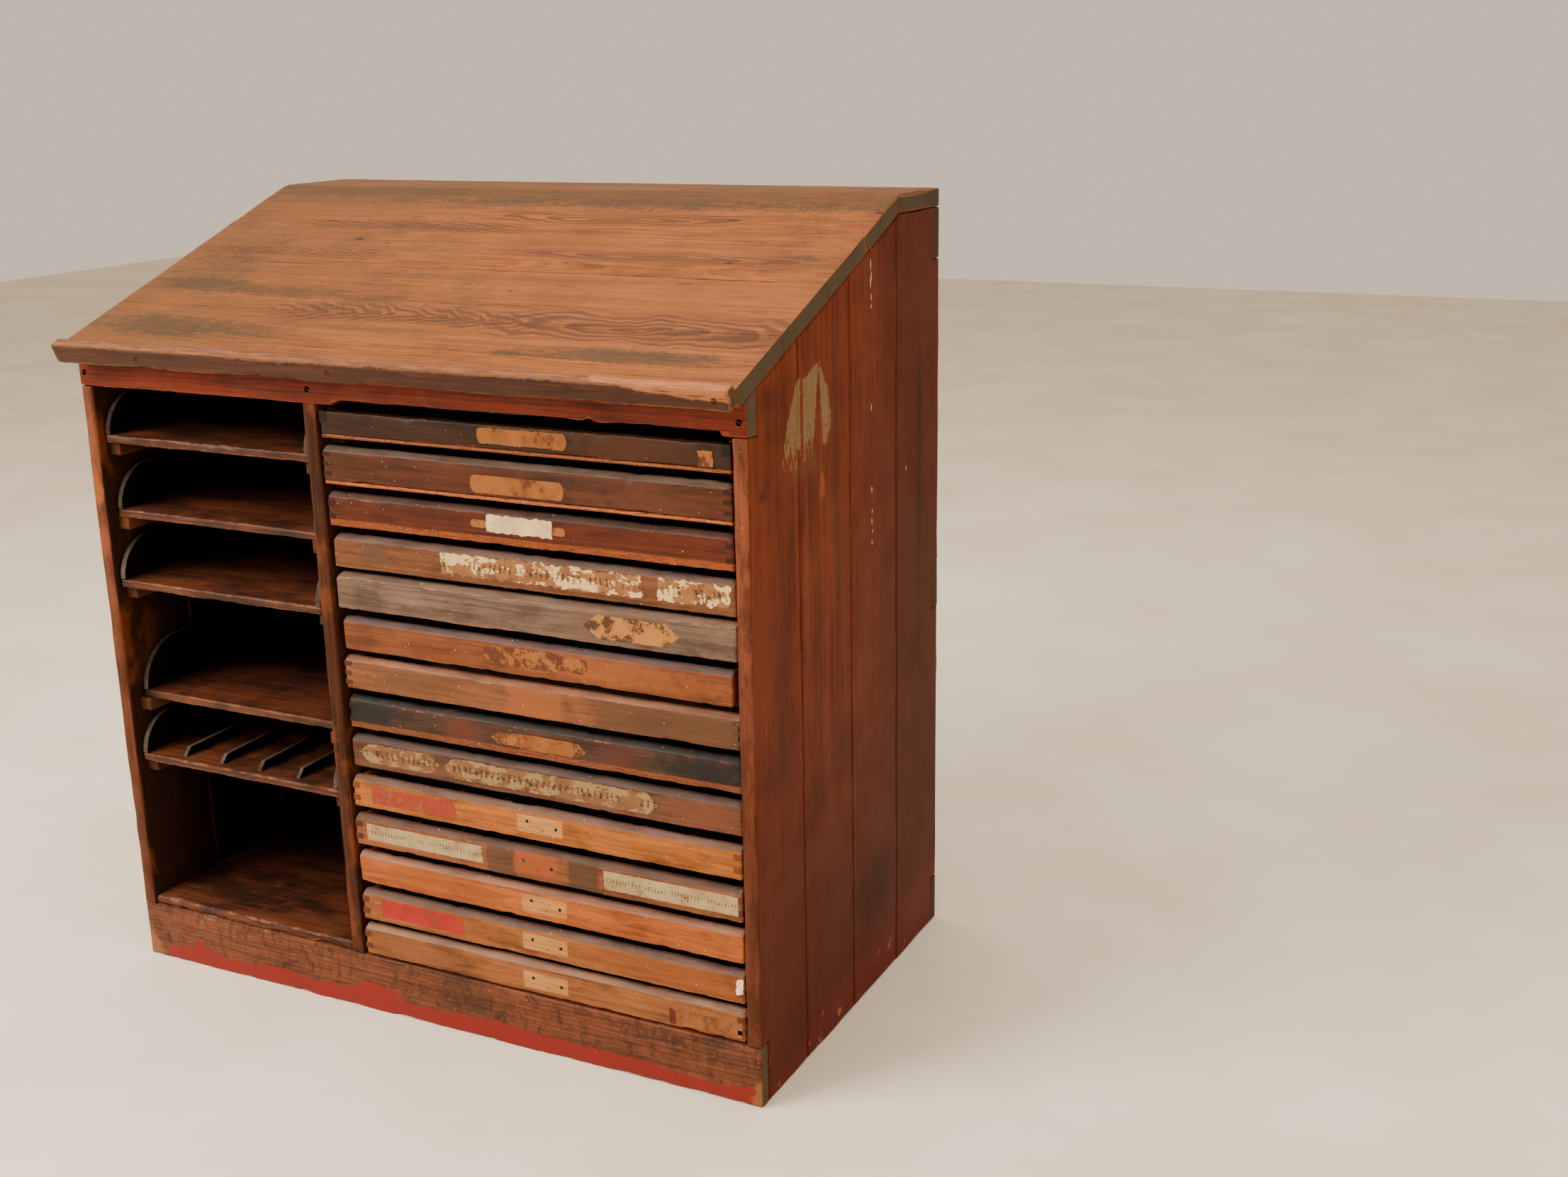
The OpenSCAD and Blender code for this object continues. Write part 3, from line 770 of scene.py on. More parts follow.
# Splinters that have come off that edge: x, z, half width and height
RAIL_CHIPS = ((-0.083, 0.951, 0.006, -0.003), (0.334, 0.956, 0.006, 0.004), (0.536, 0.950, 0.004, 0.002))


def rail_recess(place):
    """Moves the lower part of the rail up to make its uneven recess."""
    lift = RECESS_H + 0.0016 * noise.noise(Vector((13 * place.x, 0, 3)))
    for x, _, reach, height in RAIL_CHIPS:
        lift += height * math.exp(-((place.x - x) / reach) ** 2)
    inside = min(1.0, (place.x - RECESS_START) / RECESS_RAMP, (RECESS_END - place.x) / RECESS_RAMP)
    low = 1 - (place.z - RAIL_Z) / RECESS_FADE
    return place + Vector((0, 0, lift * max(0.0, inside) * max(0.0, low)))


def paint_rail(s, colour):
    """Long dark lines along the front rail, with orange chips where its lower edge steps up."""
    colour = s.stain(colour, (48, 18, 9), s.noise((3, 150, 150), 4), 0.5, 0.7, 0.6)
    colour = s.stain(colour, (112, 50, 22), s.noise((2, 90, 90), 4), 0.54, 0.72, 0.5)
    for x, z, _, _ in RAIL_CHIPS:
        colour = s.spot(colour, (126, 60, 26), 0.6, (x, FRONT_Y, z), (0.006, None, 0.003), 0.4, 0.6, 200)
    return olive_ends(s, colour)


# The raw torn grain at the right end of the ledge, as an (x, z) outline
TORN_GRAIN = ((0.36, 1.008), (0.47, 1.001), (0.57, 0.990), (0.57, 1.03), (0.36, 1.03))


def paint_ledge(s, colour):
    """The ledge under the slope: a pale rubbed top arris, and raw torn grain at its right end."""
    colour = s.stain(colour, (52, 27, 18), s.noise((6, 60, 60), 4), 0.4, 0.7, 0.6)
    colour = s.stain(colour, (98, 44, 26), s.noise((9, 90, 90), 4), 0.52, 0.7, 0.5)
    colour = s.stain(colour, (36, 18, 13), s.noise((40, 90, 120), 5, 0.75), 0.62, 0.68, 0.7)
    fibres = s.noise((22, 300, 420), 4, 0.7)
    wave = s.times(s.noise(60, 5, 0.7), 0.004, s.z)
    worn = s.mix(s.step(fibres, 0.4, 0.6), (128, 78, 45), (92, 52, 31))
    colour = s.stain(colour, worn, wave, LEDGE_ARRIS, LEDGE_ARRIS + 0.002)
    colour = s.stain(colour, (79, 64, 67), wave, LEDGE_ARRIS + 0.0065, LEDGE_ARRIS + 0.0075, 0.8)
    torn = s.region(TORN_GRAIN, (0, 2), 0.004, 0.006, 60)
    raw = s.mix(s.step(fibres, 0.35, 0.5), (92, 44, 24), (150, 92, 54))
    colour = s.mix(s.times(torn, s.step(fibres, 0.36, 0.46)), colour, raw)
    return olive_ends(s, colour)


def paint_inside(s, colour):
    """The insides: painted shade that deepens away from the front, with orange patches where the stain has
    worn.
    """
    rub = s.noise((16, 16, 10), 5)
    near = s.step(s.y, FRONT_Y + 0.01, FRONT_Y + 0.10, 1.0, 0.0)
    rub = s.times(s.step(rub, 0.52, 0.64), near)
    colour = s.mix(s.times(rub, 0.8), colour, (98, 48, 21))
    # painted shade: near black towards the back of the cabinet
    return s.stain(colour, (8, 5, 4), s.y, FRONT_Y + 0.01, FRONT_Y + 0.20, 0.94)


def paint_tray(s, colour):
    """Trays: ink stains, and painted shade that deepens towards the back."""
    colour = s.stain(colour, (16, 12, 11), s.noise((8, 14, 14), 5, 0.6), 0.42, 0.64, 0.7)
    rub = s.noise((22, 40, 40), 5, 0.65)
    near = s.step(s.y, FRONT_Y + 0.10, FRONT_Y + 0.22, 1.0, 0.0)
    rub = s.times(s.step(rub, 0.56, 0.70, 0.0, 0.45), near)
    colour = s.mix(rub, colour, (96, 46, 24))
    # painted shade: the trays go dark towards the back, deep in the cabinet
    return s.stain(colour, (15, 11, 9), s.y, FRONT_Y + 0.08, FRONT_Y + 0.34, 0.75)


def paint_dividers(s, colour):
    """Dust on the upper edges of the bars, and patches of dark dirt."""
    colour = s.stain(colour, (96, 78, 60), s.split(s.normal)[2], 0.5, 0.9, 0.55)
    return s.stain(colour, (24, 20, 17), s.noise((22, 22, 60), 5, 0.65), 0.4, 0.65, 0.7)


def paint_cheek(s, colour):
    """Grey rubbed front edges, with painted shade: the two sides and the wood towards the back are painted
    near black.
    """
    # painted shade: faces that look to the sides go near black
    shaded_sides = s.math("ABSOLUTE", s.split(s.normal)[0])
    colour = s.stain(colour, (6, 5, 4), shaded_sides, 0.4, 0.7)
    # painted shade: near black towards the back
    return s.stain(colour, (8, 7, 6), s.y, FRONT_Y + 0.10, FRONT_Y + 0.16, 0.95)


DARK_INSIDE = dict(gloss=0.3, shine=0.12)

PAINTED = dict(slot="painted_sides", figure=0.12, wear=0.4, grime=0.12, gloss=0.42, shine=0.08)

# painted_left is painted_right made a little darker, as painted shade against the key lamp on its side
painted_left = wood("painted_left", (93, 34, 8), (61, 19, 4), (136, 68, 24), local=paint_left, **PAINTED)
painted_right = wood("painted_right", (99, 36, 8), (66, 19, 4), (145, 71, 24), local=paint_right, **PAINTED)
frame_edges = wood("frame_edges", (112, 53, 31), (78, 32, 17), (165, 108, 68), figure=0.3, wear=0.85,
                   grime=0.25, gloss=0.4, local=paint_front_edges)
rail_paint = wood("rail_paint", (109, 33, 5), (76, 17, 4), (174, 88, 26), "frame_edges", figure=0.45,
                  wear=0.6, grime=0.1, gloss=0.45, local=paint_rail)
ledge_paint = wood("ledge_paint", (68, 36, 23), (42, 18, 9), (112, 78, 49), "frame_edges", figure=0.4,
                   wear=1.0, grime=0.25, gloss=0.4, local=paint_ledge)
desk_top = wood("desk_top", (140, 75, 24), (112, 58, 16), (153, 83, 27), gap=0.0040, figure=0.45, wear=0.5,
                grime=0.1, grime_colour=(71, 52, 21), gloss=0.42, specks=0.02, wander=0.03, local=paint_desk)
flat_top = wood("flat_top", (110, 56, 17), (84, 38, 9), (113, 56, 16), figure=0.5, wear=0.5, grime=0.3,
                grime_colour=(65, 33, 9), gloss=0.3, local=paint_flat)
plinth = wood("plinth", (108, 57, 34), (70, 36, 22), (139, 94, 56), figure=0.4, wear=0.5, grime=0.45,
              gloss=0.4, specks=0.02, local=paint_plinth)
inside_wood = wood("inside_wood", (65, 32, 14), (35, 16, 7), (86, 49, 23), figure=0.4, wear=0.3, grime=0.5,
                   local=paint_inside, **DARK_INSIDE)
runner_wood = wood("runner_wood", (74, 44, 26), (41, 23, 13), (101, 64, 40), figure=0.4, wear=0.4, grime=0.4,
                   local=paint_inside, **DARK_INSIDE)
tray_wood = wood("tray_wood", (92, 48, 28), (53, 26, 14), (134, 85, 55), figure=0.5, wear=0.8, grime=0.5,
                 gloss=0.45, specks=0.02, local=paint_tray)
cheek_wood = wood("cheek_wood", (79, 68, 58), (41, 32, 27), (98, 86, 73), figure=0.3, wear=0.6, grime=0.5,
                  gloss=0.15, shine=0.05, local=paint_cheek)
divider_wood = wood("divider_wood", (62, 45, 31), (36, 25, 17), (92, 68, 46), figure=0.4, wear=0.5,
                    grime=0.5, gloss=0.2, shine=0.08, local=paint_dividers)
back_rail_wood = wood("back_rail_wood", (92, 50, 28), (60, 30, 17), (128, 82, 50), "frame_edges", figure=0.5,
                      wear=0.6, grime=0.35, gloss=0.25, shine=0.1, local=olive_ends)
back_wood = wood("back_wood", (92, 60, 38), (60, 38, 24), (130, 92, 60), "inside_wood", figure=0.5, wear=0.5,
                 grime=0.4, gloss=0.25)


def iron():
    """Rusty iron for the screws and the nail heads."""
    s = Shader("screw_iron", Metallic=0.85)
    rust = s.noise(900, 4)
    colour = s.mix(s.step(rust, 0.4, 0.6), (52, 46, 42), (92, 52, 30))
    return s.finish(colour, s.step(rust, 0.3, 0.7, 0.35, 0.75), rust, 0.3, 0.0002)


screw_iron = iron()


def paper(name, light, dark, worn, torn, flakes=None, ink=None):
    """Old paper, stained and rubbed through to a worn colour. torn is how much of it is rubbed through.

    flakes is a paler colour where scraps of a newer label are left. ink is the width and half height of the
    marks that are left of a line of print, which is too worn to be read."""
    s = Shader(name, "label_paper", Specular_IOR_Level=0.2)
    cloud = s.noise(38, 5, 0.65)
    fleck = s.noise(260, 4, 0.7)
    colour = s.mix(s.step(cloud, 0.35, 0.7), light, dark)
    if flakes:
        colour = s.stain(colour, flakes, s.noise((34, 60, 1), 6, 0.65, at=s.grain), 0.50, 0.53)
    colour = s.stain(colour, worn, s.times(fleck, 0.45, cloud), 0.98 - torn, 1.03 - torn)
    if ink:
        pitch, reach = ink
        sway = s.noise((60, 90, 1), 3, at=s.grain)
        stroke = s.math("FRACT", s.times(s.along, 1 / pitch, s.times(sway, 1.2)))
        stroke = s.step(s.math("ABSOLUTE", s.math("SUBTRACT", stroke, 0.5)), 0.16, 0.24, 1.0, 0.0)
        line = s.step(s.math("ABSOLUTE", s.across), reach, reach + 0.0008, 1.0, 0.0)
        broken = s.step(s.noise((130, 260, 1), 4, 0.7, at=s.grain), 0.44, 0.50)
        gaps = s.step(s.noise((16, 1, 1), 2, at=s.grain), 0.40, 0.44)
        mark = s.times(s.times(stroke, line), s.times(broken, gaps))
        colour = s.mix(s.times(mark, 0.8), colour, (30, 23, 19))
    return s.finish(colour, 0.8, fleck, 0.2, 0.0002)


# Papers: light, dark and worn colour, how torn, and what flakes and ink they have
PAPERS = {
    "ochre": ((138, 82, 36), (112, 62, 28), (84, 46, 24), 0.16),
    "hexagon": ((161, 107, 54), (136, 85, 40), (70, 47, 30), 0.26),
    "cream": ((214, 186, 138), (178, 152, 112), (139, 101, 65), 0.05),
    "torn": ((140, 92, 54), (113, 71, 41), (97, 62, 40), 0.16, (204, 170, 114), (0.0085, 0.0055)),
    "flaked": ((118, 80, 48), (98, 64, 38), (84, 52, 32), 0.16, (136, 108, 70), (0.0095, 0.0055)),
    "patchy": ((138, 84, 42), (116, 66, 32), (84, 46, 24), 0.30),
    "white": ((162, 141, 100), (139, 115, 78), (111, 77, 43), 0.12, None, (0.0052, 0.0030)),
    "red": ((140, 54, 36), (122, 41, 29), (132, 74, 42), 0.22),
    "bright_red": ((154, 40, 32), (132, 32, 27), (118, 60, 36), 0.16),
    "tan": ((134, 82, 44), (112, 66, 34), (98, 56, 31), 0.2),
    "scrap": ((236, 214, 170), (200, 176, 136), (150, 110, 70), 0.04),
}
papers = {name: paper(f"paper_{name}", *look) for name, look in PAPERS.items()}


# ---------------------------------------------------------------- carcass

def board(node, material, axis=0, faces=None, name=None, **settings):
    """A board of the carcass, from the one solid of a node or from the given one of its solids."""
    piece = Piece(name or node)
    piece.solid(faces or solids(node)[0], axis, **settings)
    piece.make(material, "carcass", node)


def sides():
    for side, material in (("left", painted_left), ("right", painted_right)):
        for i in range(1, 5):
            board(f"{side}_side_board_{i}", material, grain=2, side_step=0.03, radius=0.0015, wear=0.002)


def uprights():
    for i, faces in enumerate(solids("centre_divider"), 1):
        board("centre_divider", inside_wood if i > 1 else frame_edges, 0, faces, f"centre_divider_board_{i}",
              grain=2, side_step=0.03, wear=0.002)


def desk():
    for i, faces in enumerate(solids("slope_boards"), 1):
        board("slope_boards", desk_top, 0, faces, f"slope_board_{i}", tilt=SLOPE_ANGLE,
              radius=0.0008 if i < 4 else 0.003, wear=0.0012)
    board("flat_top_board", flat_top, radius=0.003, wear=0.002)
    board("top_front_rail", rail_paint, wear=0.002, step=0.004, push=rail_recess)
    board("front_ledge", ledge_paint, tilt=SLOPE_ANGLE, radius=0.003, wear=0.003, step=0.008)
    board("plinth_board", plinth, radius=0.002, wear=0.003, step=0.01)


# Nodes of several boards: what its pieces are called, the axis they run along, material and settings
INNER_BOARDS = {
    "back_boards": ("back_board_{}", 2, back_wood, dict(step=0.05, wear=0.002)),
    "back_rails": ("back_rail_{}", 0, back_rail_wood, dict(step=0.03, wear=0.002)),
    "case_runners": ("case_runner_{:02d}", 1, runner_wood, dict(step=0.08)),
    "tray_cleats": ("tray_cleat_{:02d}", 1, runner_wood, dict(step=0.08)),
}


def inner_woodwork():
    board("tray_bay_floor", tray_wood, radius=0.003, wear=0.003, step=0.01)
    for node, (label, axis, material, settings) in INNER_BOARDS.items():
        for i, faces in enumerate(solids(node), 1):
            board(node, material, axis, faces, label.format(i), **settings)


def fixings():
    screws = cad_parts["screws"]
    screws.data.materials.clear()
    screws.data.materials.append(screw_iron)


# ---------------------------------------------------------------- trays

def trays():
    for i in TRAYS:
        body = f"tray_{i}"
        bottom = Piece(f"{body}_board")
        bottom.solid(solids(f"{body}_board")[0], 0, radius=0.002, wear=0.002, step=0.012)
        bottom.make(tray_wood, body, f"{body}_board")
        for k, faces in enumerate(solids(f"{body}_cheeks"), 1):
            cheek = Piece(f"{body}_cheek_{k}")
            cheek.solid(faces, 0, grain=1 if is_long(faces, 1) else 0, wear=0.001)
            cheek.make(cheek_wood, body, f"{body}_cheeks")
    for k, faces in enumerate(solids("tray_5_dividers"), 1):
        divider = Piece(f"tray_5_divider_{k}")
        divider.solid(faces, 0, grain=1)
        divider.make(cheek_wood, "tray_5", "tray_5_dividers")


# ---------------------------------------------------------------- type cases

# Each case: light and dark of its face, its worn arris, wear, fingers and gaps up its ends, and grime
CaseLook = namedtuple("CaseLook", "light dark bare wear fingers grime")
CASE_LOOKS = {
    1: CaseLook((53, 28, 13), (35, 16, 6), (107, 54, 21), 0.6, 2, 0.35),
    2: CaseLook((81, 39, 18), (57, 26, 11), (125, 60, 28), 0.6, 7, 0.35),
    3: CaseLook((88, 35, 9), (62, 20, 4), (141, 72, 30), 0.6, 5, 0.2),
    4: CaseLook((111, 67, 39), (80, 46, 26), (128, 91, 61), 0.7, 0, 0.35),
    5: CaseLook((115, 91, 75), (79, 60, 47), (151, 106, 72), 0.8, 0, 0.5),
    6: CaseLook((119, 65, 32), (89, 44, 20), (136, 86, 50), 0.5, 0, 0.15),
    7: CaseLook((126, 75, 44), (96, 54, 31), (160, 107, 80), 0.7, 7, 0.1),
    8: CaseLook((73, 47, 34), (48, 31, 23), (158, 107, 73), 0.6, 5, 0.35),
    9: CaseLook((101, 62, 44), (73, 43, 28), (134, 93, 69), 0.5, 0, 0.25),
    10: CaseLook((164, 93, 35), (131, 71, 22), (174, 122, 61), 0.5, 5, 0.05),
    11: CaseLook((134, 76, 43), (97, 52, 28), (163, 105, 68), 0.5, 5, 0.25),
    12: CaseLook((169, 88, 36), (139, 69, 26), (176, 112, 59), 0.5, 0, 0.05),
    13: CaseLook((143, 82, 38), (116, 63, 25), (152, 107, 64), 0.5, 5, 0.08),
    14: CaseLook((143, 84, 44), (113, 64, 31), (156, 107, 74), 0.5, 5, 0.12),
}
# Dust and painted sheen on the bevelled top of the fronts, and its tone on the cases that differ
DUST_AND_SHEEN = (90, 72, 66)
DUST_AND_SHEEN_TONES = {1: (46, 38, 33), 2: (89, 74, 63), 3: (64, 50, 44), 5: (104, 82, 68), 6: (78, 66, 66),
              7: (142, 94, 73), 8: (37, 36, 36), 9: (75, 62, 57), 11: (78, 59, 50), 12: (132, 95, 80),
              14: (130, 97, 80)}

# Marks on the fronts: case, x and z of the middle from the case's lower left corner, half width, half
# height, colour, strength and whether it is square
MARKS = (
    (2, 0.462, 0.028, 0.016, 0.010, (15, 12, 10), 0.9, False),
    (2, 0.470, 0.014, 0.009, 0.006, (15, 12, 10), 0.9, False),
    (2, 0.496, 0.024, 0.004, 0.006, (15, 12, 10), 0.8, False),
    (4, 0.075, 0.020, 0.030, 0.02, (71, 56, 43), 0.6, False),
    (7, 0.130, 0.020, 0.150, 0.035, (92, 58, 36), 0.6, False),
    (7, 0.555, 0.020, 0.155, 0.035, (75, 51, 32), 0.75, True),
    (7, 0.330, 0.020, 0.055, 0.035, (134, 74, 38), 0.8, True),
    (1, 0.500, 0.020, 0.150, 0.035, (70, 36, 18), 0.6, False),
    (2, 0.500, 0.020, 0.160, 0.035, (84, 48, 30), 0.5, False),
    (5, 0.450, 0.020, 0.100, 0.035, (88, 66, 50), 0.7, False),
    (6, 0.450, 0.020, 0.220, 0.035, (142, 76, 38), 0.6, False),
    (9, 0.600, 0.020, 0.100, 0.035, (108, 60, 36), 0.6, False),
    (12, 0.120, 0.020, 0.170, 0.035, (134, 66, 28), 0.6, False),
    (13, 0.560, 0.020, 0.180, 0.035, (120, 60, 26), 0.5, False),
    (14, 0.100, 0.020, 0.120, 0.035, (110, 66, 34), 0.5, False),
    (8, 0.040, 0.020, 0.090, 0.035, (23, 23, 20), 0.95, False),
    (8, 0.590, 0.020, 0.120, 0.035, (22, 20, 18), 0.9, False),
    (8, 0.200, 0.018, 0.045, 0.022, (89, 39, 22), 0.7, False),
    (8, 0.460, 0.018, 0.050, 0.022, (81, 36, 20), 0.6, False),
    (11, 0.262, 0.020, 0.030, 0.03, (63, 46, 32), 0.7, True),
    (11, 0.400, 0.020, 0.030, 0.03, (61, 45, 30), 0.8, True),
    (11, 0.320, 0.022, 0.042, 0.020, (139, 65, 30), 0.9, True),
    (12, 0.620, 0.020, 0.020, 0.02, (124, 65, 32), 0.5, False),
    (14, 0.537, 0.016, 0.006, 0.014, (71, 25, 15), 0.9, True),
)
# Screw holes of a lost handle: x of the middle from the case's corner, then x, z and size of each hole
HANDLES = {10: 0.330, 11: 0.320, 12: 0.330, 13: 0.328, 14: 0.326}
HOLES = ((-0.021, 0.024, 0.0034), (0.027, 0.019, 0.0034), (0.004, 0.013, 0.0014))
# Cases with a pale plate behind the holes
PALE_PLATES = (10, 12, 13, 14)

# How strongly the raw edge of the bottom board shows under a front
SHOWN_BOTTOMS = {1: 0.6, 2: 1.0, 3: 0.5, 8: 0.4}


BOTTOM_T = 0.0053      # a case's bottom board with the gap above it
BEVEL_H = 0.006        # height of the bevel on top of a front


def case_corner(i):
    """Lower left front corner of a case at rest, at the underside of its bottom board."""
    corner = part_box(f"case_{i:02d}_frame")[0]
    return Vector((corner.x, corner.y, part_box(f"case_{i:02d}_dividers")[0].z - BOTTOM_T))


def pale_plate(s, colour, middle):
    """Golden bare wood where a handle plate has kept the dirt off."""
    plate = s.patch(middle, (0.039, None, 0.0135), 0.05, 0.03, 90, True)
    bare = s.mix(s.step(s.noise((20, 1, 420), 4), 0.35, 0.65), (178, 126, 68), (150, 98, 50))
    return s.mix(s.times(plate, 0.9), colour, bare)


def raw_foot(s, colour, z, strength):
    """The raw edge of the bottom board, which shows under the front."""
    height = s.times(s.noise((20, 20, 80), 4), 0.004, s.z)
    loops = s.math("FRACT", s.times(s.noise((7, 1, 60), 3, distortion=1.5), 14.0))
    raw = s.mix(s.math("POWER", loops, 2.5), (168, 86, 40), (56, 27, 14))
    return s.fade(colour, raw, height, z + 0.0065, z + 0.0085, strength)


def dusty_bevel(s, colour, tone, y, bevel_z):
    """Dust and painted sheen on the bevelled top of a front."""
    # the tone is partly dust and partly painted sheen, where the bevel faces up into the light
    dust = s.mix(s.step(s.noise((14, 60, 60), 4), 0.35, 0.7), tone, shade(tone, 0.72))
    bevel = s.step(s.z, bevel_z - 0.0015, bevel_z + 0.0005)
    near = s.step(s.y, y + 0.018, y + 0.024, 0.85, 0.0)
    return s.mix(s.times(bevel, near), colour, dust)


def paint_case(i):
    """Makes the function that paints a case's own marks."""
    corner = case_corner(i)
    bevel_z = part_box(f"case_{i:02d}_frame")[1].z - BEVEL_H

    def at(x, z):
        return (corner.x + x, corner.y, corner.z + z)

    def paint(s, colour):
        darker = s.mix(0.9, colour, (120, 96, 84), "MULTIPLY")
        colour = s.stain(colour, darker, s.noise((10, 40, 34), 7, 0.7), 0.46, 0.68, 0.6)
        darker = s.mix(1.0, colour, (140, 118, 104), "MULTIPLY")
        colour = s.stain(colour, darker, s.noise((9, 40, 330), 5, 0.7), 0.56, 0.70, 0.45)
        colour = s.stain(colour, CASE_LOOKS[i].bare, s.noise((18, 40, 480), 4, 0.75), 0.63, 0.70, 0.3)
        for case, x, z, width, height, mark, strength, square in MARKS:
            if case == i:
                border = (0.3, 0.25) if square else (0.8, 0.6)
                size = (width, None, height)
                colour = s.spot(colour, mark, strength, at(x, z), size, *border, 60, square)
        if i in PALE_PLATES:
            colour = pale_plate(s, colour, at(HANDLES[i], 0.020))
        if i in HANDLES:
            for x, z, size in HOLES:
                middle = at(HANDLES[i] + x, z)
                colour = s.spot(colour, (14, 9, 6), 1.0, middle, (size, None, size), 0.4, 0.4, 300)
        if i in SHOWN_BOTTOMS:
            colour = raw_foot(s, colour, corner.z, SHOWN_BOTTOMS[i])
        # painted shade: the walls and bottom go darker behind the front, inside the case
        colour = s.stain(colour, (40, 25, 16), s.y, corner.y + 0.02, corner.y + 0.05, 0.8)
        return dusty_bevel(s, colour, DUST_AND_SHEEN_TONES.get(i, DUST_AND_SHEEN), corner.y, bevel_z)

    return paint


def case_material(i):
    look = CASE_LOOKS[i]
    return wood(f"case_wood_{i:02d}", look.light, look.dark, look.bare, gap=0.005, figure=0.45,
                wear=look.wear, grime=look.grime, gloss=0.38, specks=0.13, contrast=0.7, local=paint_case(i))


FINGER_W = 0.013     # length of a finger joint along the front
CORNER_R = 0.010     # radius of the top corners that are rounded off
# Which top corners are rounded off: 0 is the left one and 1 the right one
ROUNDED_CORNERS = {2: (1,), 3: (1,), 4: (0, 1), 5: (0,), 8: (1,), 9: (1,)}


def corner_rounder(i, lo, hi, top):
    """Makes the function that bends the top edge of a case front down at its rounded corners."""
    def bend(place):
        drop = 0.0
        for side in ROUNDED_CORNERS.get(i, ()):
            into = CORNER_R - max(0.0, abs((hi if side else lo) - place.x))
            if into > 0:
                drop = CORNER_R - math.sqrt(CORNER_R ** 2 - min(into, CORNER_R) ** 2)
        high = min(1.0, max(0.0, 1 - (top - place.z) / 0.02))
        return place - Vector((0, 0, drop * high))
    return bend


def case_front(i, faces, extra, material):
    """The front of a case, with the end grain of its side walls let in flush as finger joints."""
    piece = Piece(f"case_{i:02d}_front")
    lo, hi = span(faces, 0)
    outline = outline_of(faces, 0)
    bottom, top = min(p.y for p in outline), max(p.y for p in outline)
    bend = corner_rounder(i, lo, hi, top)
    worn = dict(radius=0.0018, wear=0.0016)
    piece.prism(outline, 0, lo, hi, step=0.003, side_step=0.01, push=bend, **worn)
    fingers = CASE_LOOKS[i].fingers
    proud = [Vector((p.x - 0.0003, p.y)) for p in outline]
    for k in range(1, fingers, 2):
        z0, z1 = (bottom + (top - bottom) * n / fingers for n in (k, k + 1))
        block = clipped(clipped(proud, 1, z0), -1, z1)
        for x0, x1 in ((lo - 0.0003, lo + FINGER_W), (hi - FINGER_W, hi + 0.0003)):
            piece.prism(block, 0, x0, x1, radius=0.0004, wear=0.0004, step=0.003, support=0.0006, grain=1,
                        tone=1.0, push=bend)
    for part in extra:
        piece.solid(part, 0, step=0.012, **worn)
    piece.make(material, f"case_{i:02d}", f"case_{i:02d}_frame")


def case(i):
    """A case in three pieces: its front, its walls with the bottom board, and the bars."""
    body = f"case_{i:02d}"
    material = case_material(i)
    node = f"{body}_frame"
    parts = solids(node)
    front_limit = case_corner(i).y + 0.03
    fronts = [f for f in parts if span(f, 1)[1] < front_limit]
    others = [f for f in parts if span(f, 1)[1] >= front_limit]
    fronts.sort(key=lambda f: span(f, 0)[0])
    case_front(i, fronts[0], fronts[1:], material)
    rest = Piece(f"{body}_walls_and_bottom")
    for faces in others:
        wide = is_long(faces, 0)
        rest.solid(faces, 0, grain=0 if wide else 1, radius=0.0012, wear=0.0016, step=0.015 if wide else 0.2)
    rest.make(material, body, node)
    bars = Piece(f"{body}_bars")
    for faces in solids(f"{body}_dividers"):
        axis = 0 if is_long(faces, 0) else 1
        bars.solid(faces, axis, radius=0.0005, wear=0.0008, step=0.06, support=0.0015)
    bars.make(divider_wood, body, f"{body}_dividers")


# ---------------------------------------------------------------- labels

def ragged(points, amount, step, shift):
    """An outline with more points, each moved in or out a little, like torn paper."""
    made = []
    for a, b in zip(points, points[1:] + points[:1]):
        count = max(1, int((b - a).length / step))
        inward = left_of((b - a).normalized())
        for k in range(count):
            p = a.lerp(b, k / count)
            at = Vector((p.x, p.y, shift))
            made.append(p + inward * amount * (0.8 * noise.noise(at * 110) + 0.4 * noise.noise(at * 420)))
    return made


def label_outline(kind, w, h):
    """Outline of a label w by h around the origin: plain, pointed or with round ends."""
    a, b = w / 2, h / 2
    if kind == "pointed":
        return [Vector(p) for p in ((-a, 0), (-a + 1.3 * b, -b), (a - 1.3 * b, -b), (a, 0),
                                    (a - 1.3 * b, b), (-a + 1.3 * b, b))]
    if kind == "round":
        bulge = 0.6 * b
        ends = [(1, t) for t in range(-90, 91, 30)] + [(-1, t) for t in range(90, 271, 30)]
        turns = [(side, math.radians(t)) for side, t in ends]
        return [Vector((side * (a - bulge) + bulge * math.cos(t), b * math.sin(t))) for side, t in turns]
    return rectangle((-a, -b), (a, b))


